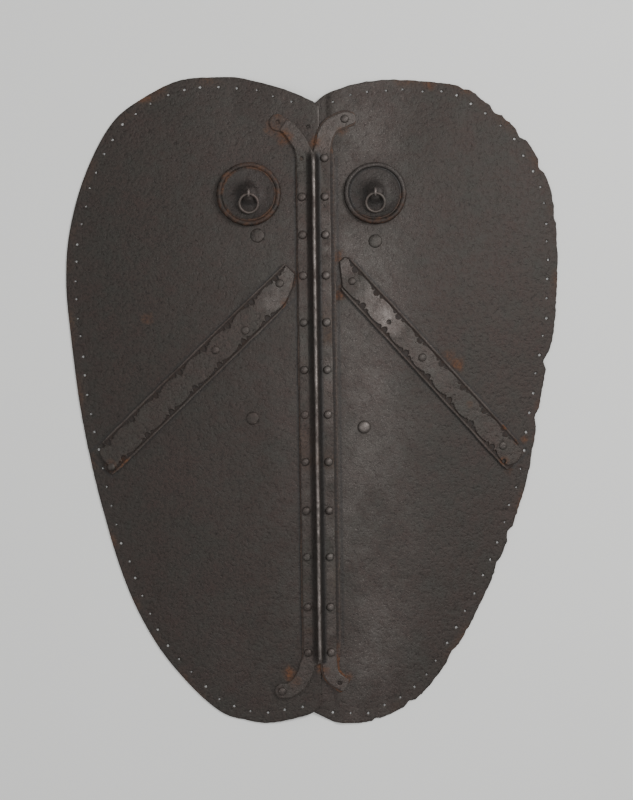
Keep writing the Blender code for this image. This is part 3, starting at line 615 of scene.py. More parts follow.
def forked_outline(tails, left_edge, right_edge, left_grow, right_grow, spacing):
    """The strip's outline with its four tails, anticlockwise from the crotch at the top."""
    grow = {"left": left_grow, "right": right_grow}
    start = {"top": FOLD_TOP, "foot": FOLD_FOOT}

    def tail(name):
        end, side = name.split("_")
        path, tip_length = tails[name]
        return tail_sides(path, start[end], tip_length, grow[side])

    line = [
        [(0, FOLD_TOP)],
        tail("top_left"),
        [(-left_edge, FLANGE_TOP), (-left_edge, FLANGE_FOOT)],
        tail("foot_left"),
        [(0, FOLD_FOOT)],
        tail("foot_right"),
        [(right_edge, FLANGE_FOOT), (right_edge, FLANGE_TOP)],
        tail("top_right"),
        [(0, FOLD_TOP)],
    ]
    return evenly(np.concatenate(line), spacing)[:-1]


def uneven(outline, amount, seed):
    """Draws an outline's points in and out a little, as hand cutting does."""
    x, y = outline.T
    return outline + amount * np.column_stack([wander(x, y, 0.016, seed), wander(x, y, 0.013, seed + 1)])


def strip_marks(x, y):
    tails = np.clip((abs(y) - 0.29) / 0.02, 0, 1)
    # Painted highlight along the strip's visible edge beside the keel's right flange
    ridge = np.clip(1 - abs(x - BACKING_RIGHT - 0.0002) / 0.0016, 0, 1) * (abs(y) < 0.31)
    foot_right = (x > 0.02) * (y < FLANGE_FOOT)
    return {
        "rust": 0.15 + 0.45 * tails * np.clip(0.3 + wander(x, y, 0.010, 71), 0, 1) + 0.7 * foot_right,
        "wear": 0.30 * ridge + 0.06 * tails,
        # Painted shade on the strip between the keel's right flange and the strip's edge
        "painted_shade": 0.75 * (1 - ridge) * (x > KEEL_HALF_WIDTH) * (1 - tails),
    }


under_strip = cut_sheet(
    "under_strip",
    uneven(forked_outline(TAILS, BACKING_LEFT, BACKING_RIGHT, -0.0006, 0.0022, STRIP_SPACING), 0.0005, 72),
    [(*place, EMPTY_HOLE_RADIUS) for place in TAIL_HOLES],
    hex_grid((-0.062, FOLD_FOOT - 0.045), (0.060, FOLD_TOP + 0.055), 0.0030),
    as_drawn,
    lambda u, v: BACKING_LIFT - 0.0002 + 0.0002 * wander(u, v, 0.02, 73),
    BACKING_THICKNESS,
    strip_marks,
    0.0003,
)
rusted_iron = forged_iron("rusted strip iron", 1.0, 0.0, 0.05, 0.0003, 0.62)
dress(under_strip, rusted_iron, "rusted_iron", "keel_backing")


# The keel. It is one long strip of thin iron, folded up along its middle into a sharp ridge, with a
# flat flange on each side that is riveted through the plates. Its ends are forked into four curled
# tails; the top left one has broken off at its rivet hole. A painted highlight runs along the ridge,
# and painted shade lies in the hollow sides of the fold, darker on the right.
KEEL_THICKNESS = 0.0012
FOLD_HALF_WIDTH = 0.0094
CREST_HALF_WIDTH = 0.0017
CREST_HEIGHT = 0.0105
FOLD_RUN_OUT = 0.008
CREST_SPLIT = 0.0016  # the ridge opens into a small fork over its last few millimetres
KEEL_LIFT = BACKING_LIFT + GAP + KEEL_THICKNESS
KEEL_TAILS = {
    **TAILS,
    "top_left": (((-0.0150, 0.0100, 0.0090), (-0.0230, 0.0220, 0.0090), (-0.0300, 0.0305, 0.0084), (-0.0362, 0.0350, 0.0080)), 0.0006),
}


def keel_lift(u, v):
    """The flanges, and a fold with hollow sides that rises to a narrow rounded ridge."""
    run_out = np.clip(np.minimum(FOLD_TOP - v, v - FOLD_FOOT) / FOLD_RUN_OUT, 0, 1)
    fork = CREST_SPLIT * np.clip(1 - np.minimum(FOLD_TOP - v, v - FOLD_FOOT) / 0.007, 0, 1)
    out = abs(abs(u + 0.0003 * wander(v, v * 0, 0.05, 81)) - fork)
    side = np.clip((FOLD_HALF_WIDTH - out) / (FOLD_HALF_WIDTH - CREST_HALF_WIDTH), 0, 1)
    steep = np.where(u < 0, 1.7, 2.3)
    ridge = CREST_HEIGHT * side**steep - 0.0005 * np.clip(out / CREST_HALF_WIDTH, 0, 1) ** 2
    dents = 0.0003 * wander(u, v, 0.017, 82) + 0.0002 * wander(u, v, 0.007, 83)
    return KEEL_LIFT + ridge * run_out + dents * np.clip(abs(u) / FOLD_HALF_WIDTH, 0, 1)


def keel_marks(u, v):
    out = abs(u)
    patchy = 0.65 + 0.5 * wander(v, v * 0, 0.018, 84) + 0.6 * wander(u * 3, v, 0.004, 89)
    # Painted highlight along the crest of the ridge
    crest_highlight = np.clip(2.1 - out / 0.0013, 0, 1) * np.clip(patchy, 0.2, 1)
    tails = np.clip((abs(v) - 0.30) / 0.015, 0, 1) * (out > 0.004)
    polished_tail = tails * np.where(u > 0, 0.22, 0.10) * np.where(v > 0, 1.0, 0.7)
    flange = (out > 0.0095) * np.clip(0.3 + 0.6 * wander(u, v, 0.010, 85), 0, 1) * np.where(u > 0, 0.20, 0.09)
    # Painted shade in the hollow sides of the fold, darker on the right side
    valley_shade = np.clip(1.3 - abs(out - 0.0055) / 0.0036, 0, 1) * (v < FOLD_TOP) * (v > FOLD_FOOT)
    return {
        "wear": np.maximum.reduce([crest_highlight, polished_tail, flange]),
        "rust": 0.3 * np.clip(wander(u, v, 0.03, 86) - 0.3, 0, 1) + stains(u, v, PLATE_STAINS, 87) * 0.7,
        "painted_shade": valley_shade * np.where(u > 0, 0.95, 0.45),
    }


fold_columns = np.arange(-0.0112, 0.01121, 0.0007)
fold_rows = np.arange(FOLD_FOOT + 0.0005, FOLD_TOP, 0.0030)
fold_grid = np.array([(u, v) for v in fold_rows for u in fold_columns])
flange_grid = hex_grid((-0.062, FOLD_FOOT - 0.045), (0.060, FOLD_TOP + 0.055), 0.0022)
on_fold = (abs(flange_grid[:, 0]) < 0.0122) & (flange_grid[:, 1] > FOLD_FOOT) & (flange_grid[:, 1] < FOLD_TOP)
keel_strip = cut_sheet(
    "keel_strip",
    uneven(forked_outline(KEEL_TAILS, KEEL_HALF_WIDTH, KEEL_HALF_WIDTH, 0.0, 0.0, STRIP_SPACING), 0.0005, 88),
    [(*LOST_RIVET, EMPTY_HOLE_RADIUS - 0.0003), (*TAIL_HOLES[1], EMPTY_HOLE_RADIUS)],
    np.concatenate([fold_grid, flange_grid[~on_fold]]),
    as_drawn,
    keel_lift,
    KEEL_THICKNESS,
    keel_marks,
    0.0003,
)
keel_iron = forged_iron("keel iron", 1.0, 0.0, 0.0, 0.00030, 0.54)
dress(keel_strip, keel_iron, "worn_iron", "keel")


# The rivets. Each small rivet is a round iron pin with a low domed head in front, hammered over
# into a flatter head behind. They hold the keel, its tails and the slanting straps; one is lost.
RIVET_HEAD_RADIUS = 0.0055
RIVET_HEAD_HEIGHT = 0.0028
KEEL_RIVET_LEFT = -0.0145
KEEL_RIVET_RIGHT = 0.0138
# Shares of the half height
KEEL_RIVET_HEIGHTS = (
    0.742, 0.623, 0.506, 0.381, 0.237, 0.092, -0.045, -0.189, -0.339, -0.481, -0.635, -0.775,
)
TAIL_RIVETS = {"top_right": (0.0394, FOLD_TOP + 0.0411), "foot_left": (-0.0470, FOLD_FOOT - 0.0340)}


def rivet_tree():
    """Geometry nodes that set a domed head on every point and a flatter one behind it."""
    tree = bpy.data.node_groups.new("rivets", "GeometryNodeTree")
    face = tree.interface
    face.new_socket("Geometry", in_out="INPUT", socket_type="NodeSocketGeometry")
    face.new_socket("Head Radius", in_out="INPUT", socket_type="NodeSocketFloat")
    face.new_socket("Head Height", in_out="INPUT", socket_type="NodeSocketFloat")
    face.new_socket("Back Radius", in_out="INPUT", socket_type="NodeSocketFloat")
    face.new_socket("Seed", in_out="INPUT", socket_type="NodeSocketInt")
    face.new_socket("Iron", in_out="INPUT", socket_type="NodeSocketMaterial")
    face.new_socket("Geometry", in_out="OUTPUT", socket_type="NodeSocketGeometry")
    link = tree.links.new

    def add(kind, **settings):
        node = tree.nodes.new(kind)
        for key, value in settings.items():
            setattr(node, key, value)
        return node

    def measure(attribute, kind="FLOAT"):
        node = add("GeometryNodeInputNamedAttribute", data_type=kind)
        node.inputs["Name"].default_value = attribute
        return node.outputs["Attribute"]

    def number(operation, a, b):
        node = add("ShaderNodeMath", operation=operation)
        for socket, value in zip(node.inputs, (a, b)):
            if isinstance(value, (int, float)):
                socket.default_value = value
            else:
                link(value, socket)
        return node.outputs[0]

    def vector_of(x, y, z):
        node = add("ShaderNodeCombineXYZ")
        for socket, value in zip(node.inputs, (x, y, z)):
            if isinstance(value, (int, float)):
                socket.default_value = value
            else:
                link(value, socket)
        return node.outputs[0]

    given = add("NodeGroupInput").outputs
    ball = add("GeometryNodeMeshIcoSphere")
    ball.inputs["Subdivisions"].default_value = 3
    where = add("ShaderNodeSeparateXYZ")
    link(add("GeometryNodeInputPosition").outputs[0], where.inputs[0])
    # Above the seat the ball is a low dome with a full rim, and below it is almost flat
    full = number("POWER", number("MAXIMUM", where.outputs[2], 0.0), 0.8)
    low = number("MULTIPLY", number("MINIMUM", where.outputs[2], 0.0), 0.18)
    shape = add("GeometryNodeSetPosition")
    link(ball.outputs["Mesh"], shape.inputs["Geometry"])
    link(vector_of(where.outputs[0], where.outputs[1], number("ADD", full, low)), shape.inputs["Position"])
    # Painted highlight: each head is lighter towards its crown, kept in wear
    mark = add("GeometryNodeStoreNamedAttribute", data_type="FLOAT", domain="POINT")
    mark.inputs["Name"].default_value = "wear"
    link(shape.outputs[0], mark.inputs["Geometry"])
    link(number("POWER", full, 2.0), mark.inputs["Value"])
    smooth = add("GeometryNodeSetShadeSmooth")
    link(mark.outputs[0], smooth.inputs["Geometry"])

    spin = add("FunctionNodeRandomValue", data_type="FLOAT")
    spin.inputs[2].default_value = 0.0
    spin.inputs[3].default_value = math.tau
    link(given["Seed"], spin.inputs["Seed"])
    spread = add("FunctionNodeRandomValue", data_type="FLOAT")
    spread.inputs[2].default_value = 0.92
    spread.inputs[3].default_value = 1.04
    link(given["Seed"], spread.inputs["Seed"])
    upright = add("FunctionNodeAlignRotationToVector", axis="Z")
    link(measure("stand", "FLOAT_VECTOR"), upright.inputs["Vector"])
    turned = add("FunctionNodeRotateRotation", rotation_space="LOCAL")
    about = add("FunctionNodeAxisAngleToRotation")
    about.inputs["Axis"].default_value = (0, 0, 1)
    link(spin.outputs[1], about.inputs["Angle"])
    link(upright.outputs[0], turned.inputs[0])
    link(about.outputs[0], turned.inputs[1])

    def heads(points, radius, height):
        node = add("GeometryNodeInstanceOnPoints")
        link(points, node.inputs["Points"])
        link(smooth.outputs[0], node.inputs["Instance"])
        link(turned.outputs[0], node.inputs["Rotation"])
        wide = number("MULTIPLY", radius, spread.outputs[1])
        link(vector_of(wide, wide, height), node.inputs["Scale"])
        return node.outputs[0]

    proud = number("MULTIPLY", given["Head Height"], measure("proud"))
    front = heads(given["Geometry"], number("MULTIPLY", given["Head Radius"], measure("girth")), proud)
    sink = add("ShaderNodeVectorMath", operation="SCALE")
    link(measure("stand", "FLOAT_VECTOR"), sink.inputs[0])
    link(number("MULTIPLY", measure("grip"), -1.0), sink.inputs["Scale"])
    behind = add("GeometryNodeSetPosition")
    link(given["Geometry"], behind.inputs["Geometry"])
    link(sink.outputs[0], behind.inputs["Offset"])
    back = heads(behind.outputs[0], given["Back Radius"], number("MULTIPLY", given["Head Height"], -0.35))
    flipped = add("GeometryNodeRealizeInstances")
    link(back, flipped.inputs[0])
    outward = add("GeometryNodeFlipFaces")
    link(flipped.outputs[0], outward.inputs[0])
    both = add("GeometryNodeJoinGeometry")
    link(front, both.inputs[0])
    link(outward.outputs[0], both.inputs[0])
    real = add("GeometryNodeRealizeInstances")
    link(both.outputs[0], real.inputs[0])
    # The painted highlight is scaled by each rivet's highlight_share
    highlighted = add("GeometryNodeStoreNamedAttribute", data_type="FLOAT", domain="POINT")
    highlighted.inputs["Name"].default_value = "wear"
    link(real.outputs[0], highlighted.inputs["Geometry"])
    link(number("MULTIPLY", measure("wear"), measure("highlight_share")), highlighted.inputs["Value"])
    iron = add("GeometryNodeSetMaterial")
    link(highlighted.outputs[0], iron.inputs["Geometry"])
    link(given["Iron"], iron.inputs["Material"])
    link(iron.outputs[0], add("NodeGroupOutput").inputs[0])
    return tree


def made_by_nodes(name, points, columns, tree, **inputs):
    """Runs a node tree on a set of points and keeps the plain mesh that it makes."""
    mesh = bpy.data.meshes.new(name)
    mesh.from_pydata(points, [], [])
    for key, values in columns.items():
        kind = "FLOAT_VECTOR" if np.ndim(values) == 2 else "FLOAT"
        data = mesh.attributes.new(key, kind, "POINT").data
        data.foreach_set("vector" if kind == "FLOAT_VECTOR" else "value", np.array(values, np.float32).ravel())
    source = bpy.data.objects.new(name, mesh)
    bpy.context.scene.collection.objects.link(source)
    modifier = source.modifiers.new("nodes", "NODES")
    modifier.node_group = tree
    for item in tree.interface.items_tree:
        if item.in_out == "INPUT" and item.name in inputs:
            modifier[item.identifier] = inputs[item.name]
    evaluated = source.evaluated_get(bpy.context.evaluated_depsgraph_get())
    made = bpy.data.meshes.new_from_object(evaluated)
    bpy.data.objects.remove(source)
    made.name = name
    for spare in ("stand", "grip", "proud", "girth", "highlight_share"):
        if spare in made.attributes:
            made.attributes.remove(made.attributes[spare])
    piece = bpy.data.objects.new(name, made)
    bpy.context.scene.collection.objects.link(piece)
    return piece


RIVETS = rivet_tree()
rivet_iron = forged_iron("rivet iron", 0.95, 0.0, 0.0, 0.00022, 0.50)


def set_rivets(name, rivets, radius, height, back_radius, seed):
    """rivets holds, for each one: x, y, lift of its seat, how proud, how wide and how strong its painted highlight.
    """
    frames = [seat(x, y, lift) for x, y, lift, *_ in rivets]
    columns = {
        "stand": [tuple(turn.col[2][:3]) for turn in frames],
        "grip": [lift + PLATE_THICKNESS + step_down(x) * (x > 0) for x, _, lift, *_ in rivets],
        "proud": [rivet[3] for rivet in rivets],
        "girth": [rivet[4] for rivet in rivets],
        "highlight_share": [rivet[5] for rivet in rivets],
    }
    inputs = {"Head Radius": radius, "Head Height": height, "Back Radius": back_radius, "Seed": seed, "Iron": rivet_iron}
    return made_by_nodes(name, [turn.translation for turn in frames], columns, RIVETS, **inputs)


keel_rivets, keel_rivet_nodes = [], []
for number, share in enumerate(KEEL_RIVET_HEIGHTS):
    for side, x in (("left", KEEL_RIVET_LEFT), ("right", KEEL_RIVET_RIGHT)):
        if (side, number) != ("left", 0):
            # The right-hand row of keel rivets gets a stronger painted highlight than the left
            proud, highlight_share = (0.95, 0.30) if side == "right" else (0.55 + 0.2 * (number % 3), 0.10)
            keel_rivets.append((x, share * HALF_HEIGHT, KEEL_LIFT, proud, 0.96, highlight_share))
            keel_rivet_nodes.append(f"keel_rivet_{side}_{number + 1:02}")
for name, (x, y) in TAIL_RIVETS.items():
    keel_rivets.append((x, y, KEEL_LIFT, 0.85, 1.0, 0.2))
    keel_rivet_nodes.append(f"tail_rivet_{name}")
keel_rivet_heads = set_rivets("keel_rivets", keel_rivets, RIVET_HEAD_RADIUS, RIVET_HEAD_HEIGHT, 0.0045, 5)
dress(keel_rivet_heads, rivet_iron, "rivet_iron", *keel_rivet_nodes)


# The slanting straps. On each plate lies a long strip with rolled edges, and riveted on it a second
# strip with fretted sides: convex lobes between round notches, each notch between two spikes.
# The fretted strips are worn bright near the keel, and rust has started at the straps' feet.
STRAP_THICKNESS = 0.0014
STRAP_LIFT = GAP + STRAP_THICKNESS
FRET_THICKNESS = 0.0014
FRET_LIFT = STRAP_LIFT + GAP + FRET_THICKNESS
LIP_WIDTH = 0.0032
LIP_HEIGHT = 0.0015
FRET_INSET = 0.0010
NOTCH_RADIUS = 0.0038
NOTCH_DEPTH = 0.0058
SPIKE_WIDTH = 0.0011
SIDE_NOTCH_RADIUS = 0.0023
SIDE_NOTCH_DEPTH = 0.0030
LOBE_SHOULDER = 0.0030
STRAPS = {
    "left": {
        "head": (-BACKING_LEFT - 0.0006, 0.386 * HALF_HEIGHT),
        "length": 1.0974 * LEFT_REACH,
        "slope": 223.4,
        "half_width": 0.0200,
        "lower": 1,
        "outline": (
            (0.003, -0.020), (0.0, -0.001), (0.0414, 0.009), (0.1006, 0.017), (0.1627, 0.020),
            (0.9675, 0.020), (0.9941, 0.017), (1.0, 0.006), (0.9349, -0.018), (0.9083, -0.020),
        ),
        "fret_head": ((0.006, -0.0180), (0.004, -0.002), (0.044, 0.0078), (0.100, 0.0150), (0.140, 0.0162)),
        "fret_to": 0.955,
        "first_notch": 0.0651,
        "pitch": 0.1222,
        "rivets": ((0.0672, -0.0060, 0.7), (0.2754, 0.0060, 0.4), (0.4027, -0.0024, 0.5), (0.9734, 0.0110, 0.8)),
        "on_fret": 3,
        "holes": (),
        "bright": ((0.07, 0.0, 0.08, 0.16), (0.12, 0.004, 0.04, 0.22)),
        "stains": ((0.03, 0.012, 0.02, 0.9), (0.10, 0.019, 0.02, 0.9), (0.93, 0.019, 0.02, 0.8), (0.9734, 0.0110, 0.020, 0.9)),
    },
    "right": {
        "head": (BACKING_RIGHT + 0.0015, 0.417 * HALF_HEIGHT),
        "length": 1.0997 * RIGHT_REACH,
        "slope": -48.2,
        "half_width": 0.0178,
        "lower": -1,
        "outline": (
            (0.0242, 0.0178), (0.0, 0.013), (0.0, 0.004), (0.0876, -0.0178), (0.9758, -0.0178),
            (0.997, -0.015), (1.0, -0.008), (0.9819, 0.005), (0.9577, 0.0148), (0.9335, 0.0178),
        ),
        "fret_head": ((0.020, 0.0150), (0.003, 0.0125), (0.003, 0.0045), (0.080, -0.0142), (0.120, -0.0142)),
        "fret_to": 0.975,
        "first_notch": 0.0619,
        "pitch": 0.119,
        "rivets": ((0.0876, -0.0006, 0.6), (0.4719, -0.0007, 0.7), (0.9178, -0.0007, 0.5)),
        "on_fret": 3,
        "holes": ((0.2915, -0.0013), (0.9637, -0.0120)),
        "bright": ((0.03, 0.004, 0.03, 0.22), (0.20, 0.0, 0.06, 0.30), (0.27, 0.0, 0.06, 0.50), (0.47, 0.0, 0.10, 0.07)),
        "stains": ((0.9637, -0.0120, 0.014, 1.0), (0.94, 0.0165, 0.012, 0.9), (0.87, 0.0170, 0.012, 0.8), (0.72, 0.004, 0.012, 0.6)),
    },
}


def strap_place(strap):
    turn = math.radians(strap["slope"])
    head_x, head_y = strap["head"]

    def place(u, v):
        x = head_x + u * math.cos(turn) - v * math.sin(turn)
        y = head_y + u * math.sin(turn) + v * math.cos(turn)
        return x, y

    return place


def fret_side(strap, start, end, half):
    """One side of the fretted strip, as distances along and out."""
    pitch = strap["pitch"] * strap["length"]
    first = strap["first_notch"] * strap["length"]
    along = np.arange(start, end, 0.0006)
    off = abs((along - first + pitch / 2) % pitch - pitch / 2)
    spike = NOTCH_RADIUS + SPIKE_WIDTH
    side_middle = spike + SIDE_NOTCH_RADIUS
    shoulder = side_middle + SIDE_NOTCH_RADIUS
    notch = NOTCH_DEPTH * np.sqrt(np.clip(1 - (off / NOTCH_RADIUS) ** 2, 0, 1))
    side_notch = SIDE_NOTCH_DEPTH * np.sqrt(np.clip(1 - ((off - side_middle) / SIDE_NOTCH_RADIUS) ** 2, 0, 1))
    lobe = np.clip((off - side_middle) / (pitch / 2 - side_middle), 0, 1)
    swell = LOBE_SHOULDER * (1 - np.sqrt(np.clip(1 - (1 - lobe) ** 2, 0, 1)))
    cut = np.where(off < NOTCH_RADIUS, notch, 0)
    cut = np.where((off > spike) & (off <= side_middle), side_notch, cut)
    cut = np.where(off > side_middle, np.maximum(np.where(off < shoulder, side_notch, 0), swell), cut)
    return along, half - cut


def strap_field(u, v, strap, spots, seed):
    """Patches along a strap: share of its length, place across, radius as a share, strength."""
    value = np.zeros_like(u)
    for share, across, radius, strength in spots:
        distance = np.hypot(u / strap["length"] - share, (v - across) / strap["length"]) / radius
        ragged = distance + 0.3 * wander(u, v, 0.008, seed)
        value = np.maximum(value, strength * np.clip(1.6 - ragged, 0, 1))
    return value


def build_strap(side, strap, seed):
    place, length, half = strap_place(strap), strap["length"], strap["half_width"]
    outline = np.array([(share * length, v) for share, v in strap["outline"]])
    outline = uneven(evenly(np.concatenate([outline, outline[:1]]), 0.0014)[:-1], 0.0004, seed)
    holes = [(share * length, v, EMPTY_HOLE_RADIUS) for share, v in strap["holes"]]
    lip_foot = half - LIP_WIDTH
    rows = [-half + 0.0008 * k for k in range(1, 6)] + [half - 0.0008 * k for k in range(1, 6)]
    lip_grid = np.array([(u, v) for u in np.arange(0, length, 0.0022) for v in rows])
    floor_grid = hex_grid((0, -lip_foot + 0.001), (length, lip_foot - 0.001), 0.0024)

    def lip(u, v):
        across = np.clip((abs(v) - lip_foot) / LIP_WIDTH, 0, 1)
        roll = LIP_HEIGHT * np.sqrt(np.clip(1 - (1 - 1.6 * across) ** 2, 0, 1)) * (across > 0)
        return STRAP_LIFT + np.where(across < 0.62, roll, LIP_HEIGHT * (1 - 0.5 * (across - 0.62))) - 0.0001

    def strap_marks(u, v):
        lips = np.clip((abs(v) - lip_foot) / 0.001, 0, 1)
        return {
            # Painted highlight on the rolled lips, with some wear
            "wear": 0.16 * lips * np.clip(0.8 + wander(u, v, 0.02, seed + 2), 0.2, 1),
            "rust": np.maximum(strap_field(u, v, strap, strap["stains"], seed + 3), 0.25 * (1 - lips)),
            # Painted shade on the strap's floor between the lips, around and under the fretted strip
            "painted_shade": 0.7 * (1 - lips),
        }

    backing = cut_sheet(
        f"{side}_strap", outline, holes, np.concatenate([lip_grid, floor_grid]),
        place, lip, STRAP_THICKNESS, strap_marks, 0.0002,
    )

    fret_half = half - LIP_WIDTH - FRET_INSET
    lower = strap["lower"]
    end = strap["fret_to"] * length
    head = np.array([(share * length, v) for share, v in strap["fret_head"]])
    first = strap["first_notch"] * length
    upper_u, upper_w = fret_side(strap, head[0, 0] + 0.002, end, fret_half)
    lower_u, lower_w = fret_side(strap, first + 0.5 * strap["pitch"] * length, end, fret_half)
    upper = np.column_stack([upper_u, -lower * upper_w])
    under = np.column_stack([lower_u, lower * lower_w])
    turn = np.linspace(0, math.pi, 15)[1:-1]
    tip = np.column_stack([end + 0.008 * np.sin(turn), lower * lower_w[-1] * np.cos(turn)])
    loop = np.concatenate([head, under, tip, upper[::-1], head[:1]])
    loop = uneven(evenly(loop, 0.0009)[:-1], 0.00025, seed + 5)
    seam = strap["pitch"] * length * 0.22 + first

    def fret_lift(u, v):
        overlap = 0.0004 / (1 + np.exp(-(u - seam - 0.010 + 25 * v**2) / 0.0006))
        dents = 0.0002 * wander(u, v, 0.011, seed + 6) + 0.00012 * wander(u, v, 0.005, seed + 7)
        return FRET_LIFT - overlap + dents

    def fret_marks(u, v):
        return {
            "wear": strap_field(u, v, strap, strap["bright"], seed + 8) * np.clip(0.9 + 0.5 * wander(u, v, 0.006, seed + 9), 0.4, 1),
            "rust": strap_field(u, v, strap, strap["stains"], seed + 10) * 0.6,
            "painted_shade": 0.0 * u,
        }

    fret = cut_sheet(
        f"{side}_fret", loop, [hole for hole in holes if hole[0] < end],
        hex_grid((0, -half), (length, half), 0.0019),
        place, fret_lift, FRET_THICKNESS, fret_marks, 0.0002,
    )
    dress(backing, rusted_iron, "rusted_iron", f"strap_{side}_backing")
    dress(fret, fret_iron, "worn_iron", f"strap_{side}_fret")


def shade_beside_strap(plate, strap):
    """Painted shadow lines on a plate along a strap's edges."""
    mesh = plate.data
    spots, painted_shade = np.empty(3 * len(mesh.vertices)), np.empty(len(mesh.vertices), np.float32)
    mesh.vertices.foreach_get("co", spots)
    mesh.attributes["painted_shade"].data.foreach_get("value", painted_shade)
    turn = math.radians(strap["slope"])
    x = spots[0::3] - KEEL_X - strap["head"][0]
    y = spots[1::3] - strap["head"][1]
    u, v = x * math.cos(turn) + y * math.sin(turn), y * math.cos(turn) - x * math.sin(turn)
    beyond = np.maximum(abs(v) - strap["half_width"], u - strap["length"])
    shade_share = 0.8 * np.clip(1 - abs(beyond - 0.0006) / 0.0022, 0, 1) * (u > 0.01)
    mesh.attributes["painted_shade"].data.foreach_set("value", np.maximum(painted_shade, shade_share).astype(np.float32))


fret_iron = forged_iron("fretted strap iron", 1.0, 0.0, 0.0, 0.00030, 0.52)
shade_beside_strap(left_plate, STRAPS["left"])
shade_beside_strap(right_plate, STRAPS["right"])
strap_rivets, strap_rivet_nodes = [], []
for side, strap in STRAPS.items():
    build_strap(side, strap, 101 if side == "left" else 151)
    for number, (share, v, proud) in enumerate(strap["rivets"]):
        x, y = strap_place(strap)(share * strap["length"], v)
        lift = FRET_LIFT if number < strap["on_fret"] else STRAP_LIFT
        strap_rivets.append((x, y, lift, proud, 0.95, 0.08))
        strap_rivet_nodes.append(f"strap_{side}_rivet_{number + 1}")
strap_rivet_heads = set_rivets("strap_rivets", strap_rivets, RIVET_HEAD_RADIUS, RIVET_HEAD_HEIGHT, 0.0045, 6)
dress(strap_rivet_heads, rivet_iron, "rivet_iron", *strap_rivet_nodes)


# The four large studs, two on each plate. They are short iron pins with broad heads that once held
# the arm loops behind; one head is still a high dome with a strong painted highlight, and the others
# are beaten almost flat.
STUD_HEAD_RADIUS = 0.0086
STUD_HEAD_HEIGHT = 0.0036
# Share of the plate's reach, share of the half height, how proud, how strong the painted highlight
STUDS = {
    "left_top": (-0.227, 0.507, 0.40, 0.0),
    "right_top": (0.2495, 0.485, 0.50, 0.07),
    "left_mid": (-0.2565, -0.0535, 0.36, 0.0),
    "right_mid": (0.1937, -0.0847, 1.0, 0.65),
}
studs = []
for name, (across, up, proud, highlight_share) in STUDS.items():
    reach = LEFT_REACH if name.startswith("left") else RIGHT_REACH
    studs.append((across * reach, up * HALF_HEIGHT, 0.0, proud, 1.0, highlight_share))
stud_heads = set_rivets("studs", studs, STUD_HEAD_RADIUS, STUD_HEAD_HEIGHT, 0.0070, 7)
dress(stud_heads, rivet_iron, "rivet_iron", *[f"stud_{name}" for name in STUDS])


# The roundels. Each is a turned iron disc with a beaded rim, a dished floor and a boss in the
# middle, laid on the plate. A narrow bent strip, the eye, comes up through the boss and holds a
# loose ring. Rust has crept in all round the left rim and along the foot of the right one.
ROUNDEL_LIFT = 0.00074
FLOOR = 0.0024
RIM_HEIGHT = 0.0060
DOME_HEIGHT = 0.0088
ROUNDELS = {
    "left": ((-0.260 * LEFT_REACH, 0.634 * HALF_HEIGHT), 0.0400, (0.0, 1.0)),
    "right": ((0.252 * RIGHT_REACH, 0.632 * HALF_HEIGHT), 0.0390, (-65.0, 0.30)),
}
ROUNDEL_TURNS = 120
EYE_WIDTH = 0.0026
EYE_THICKNESS = 0.0018
EYE_HALF_SPAN = 0.0056
EYE_HEIGHT = 0.0074
RING_RADIUS = 0.0115
RING_WIRE_RADIUS = 0.0017
RING_TOP_OFFSET = 0.0014


def roundel_profile(radius):
    """Radius and height from the boss's top, over the floor and the rim, to the back's middle."""
    line = [(0.0008, DOME_HEIGHT), (0.004, DOME_HEIGHT - 0.0003), (0.008, 0.0074), (0.0115, 0.0052)]
    line += [(0.0145, 0.0036), (0.018, 0.0028), (0.023, 0.0026), (radius - 0.0095, 0.0031)]
    line += [(radius - 0.0078, 0.0036), (radius - 0.0068, 0.0034)]
    front = smooth_line(line, 5)
    turn = np.linspace(math.pi * 0.95, 0.0, 12)[:, None]
    bead = (radius - 0.0033, 0.0028) + np.concatenate([0.0032 * np.cos(turn), 0.0031 * np.sin(turn)], 1)
    foot = [(radius, 0.0008), (radius - 0.0006, 0.0), (radius * 0.5, 0.0), (0.0008, 0.0)]
    return np.concatenate([front, bead, foot])


def turned_disc(name, profile, matrix, marks, seed):
    """A piece turned about its Z from a profile, a little uneven, with closed middles."""
    angles = np.arange(ROUNDEL_TURNS) * math.tau / ROUNDEL_TURNS
    radius, height = profile[:, :1], profile[:, 1:]
    swell = 0.0003 * wander(np.cos(angles) * 0.04, np.sin(angles) * 0.04, 0.012, seed)
    dents = 0.00025 * wander(radius * np.cos(angles), radius * np.sin(angles), 0.008, seed + 1)
    around = radius + (swell - 0.0003) * (radius > 0.02)
    x, y = around * np.cos(angles), around * np.sin(angles)
    z = height + dents * (height > 0.001) - 0.0001 * (height > 0.001)
    verts = np.column_stack([x.ravel(), y.ravel(), z.ravel()])
    faces = []
    for k in range(len(profile) - 1):
        for a in range(ROUNDEL_TURNS):
            b = (a + 1) % ROUNDEL_TURNS
            low, high = k * ROUNDEL_TURNS, (k + 1) * ROUNDEL_TURNS
            faces.append((low + a, high + a, high + b, low + b))
    faces.append(tuple(range(ROUNDEL_TURNS)))
    last = (len(profile) - 1) * ROUNDEL_TURNS
    faces.append(tuple(range(last + ROUNDEL_TURNS - 1, last - 1, -1)))
    values = marks(verts[:, 0], verts[:, 1])
    placed = [matrix @ Vector(vert) for vert in verts]
    return add_piece(name, placed, faces, **values)


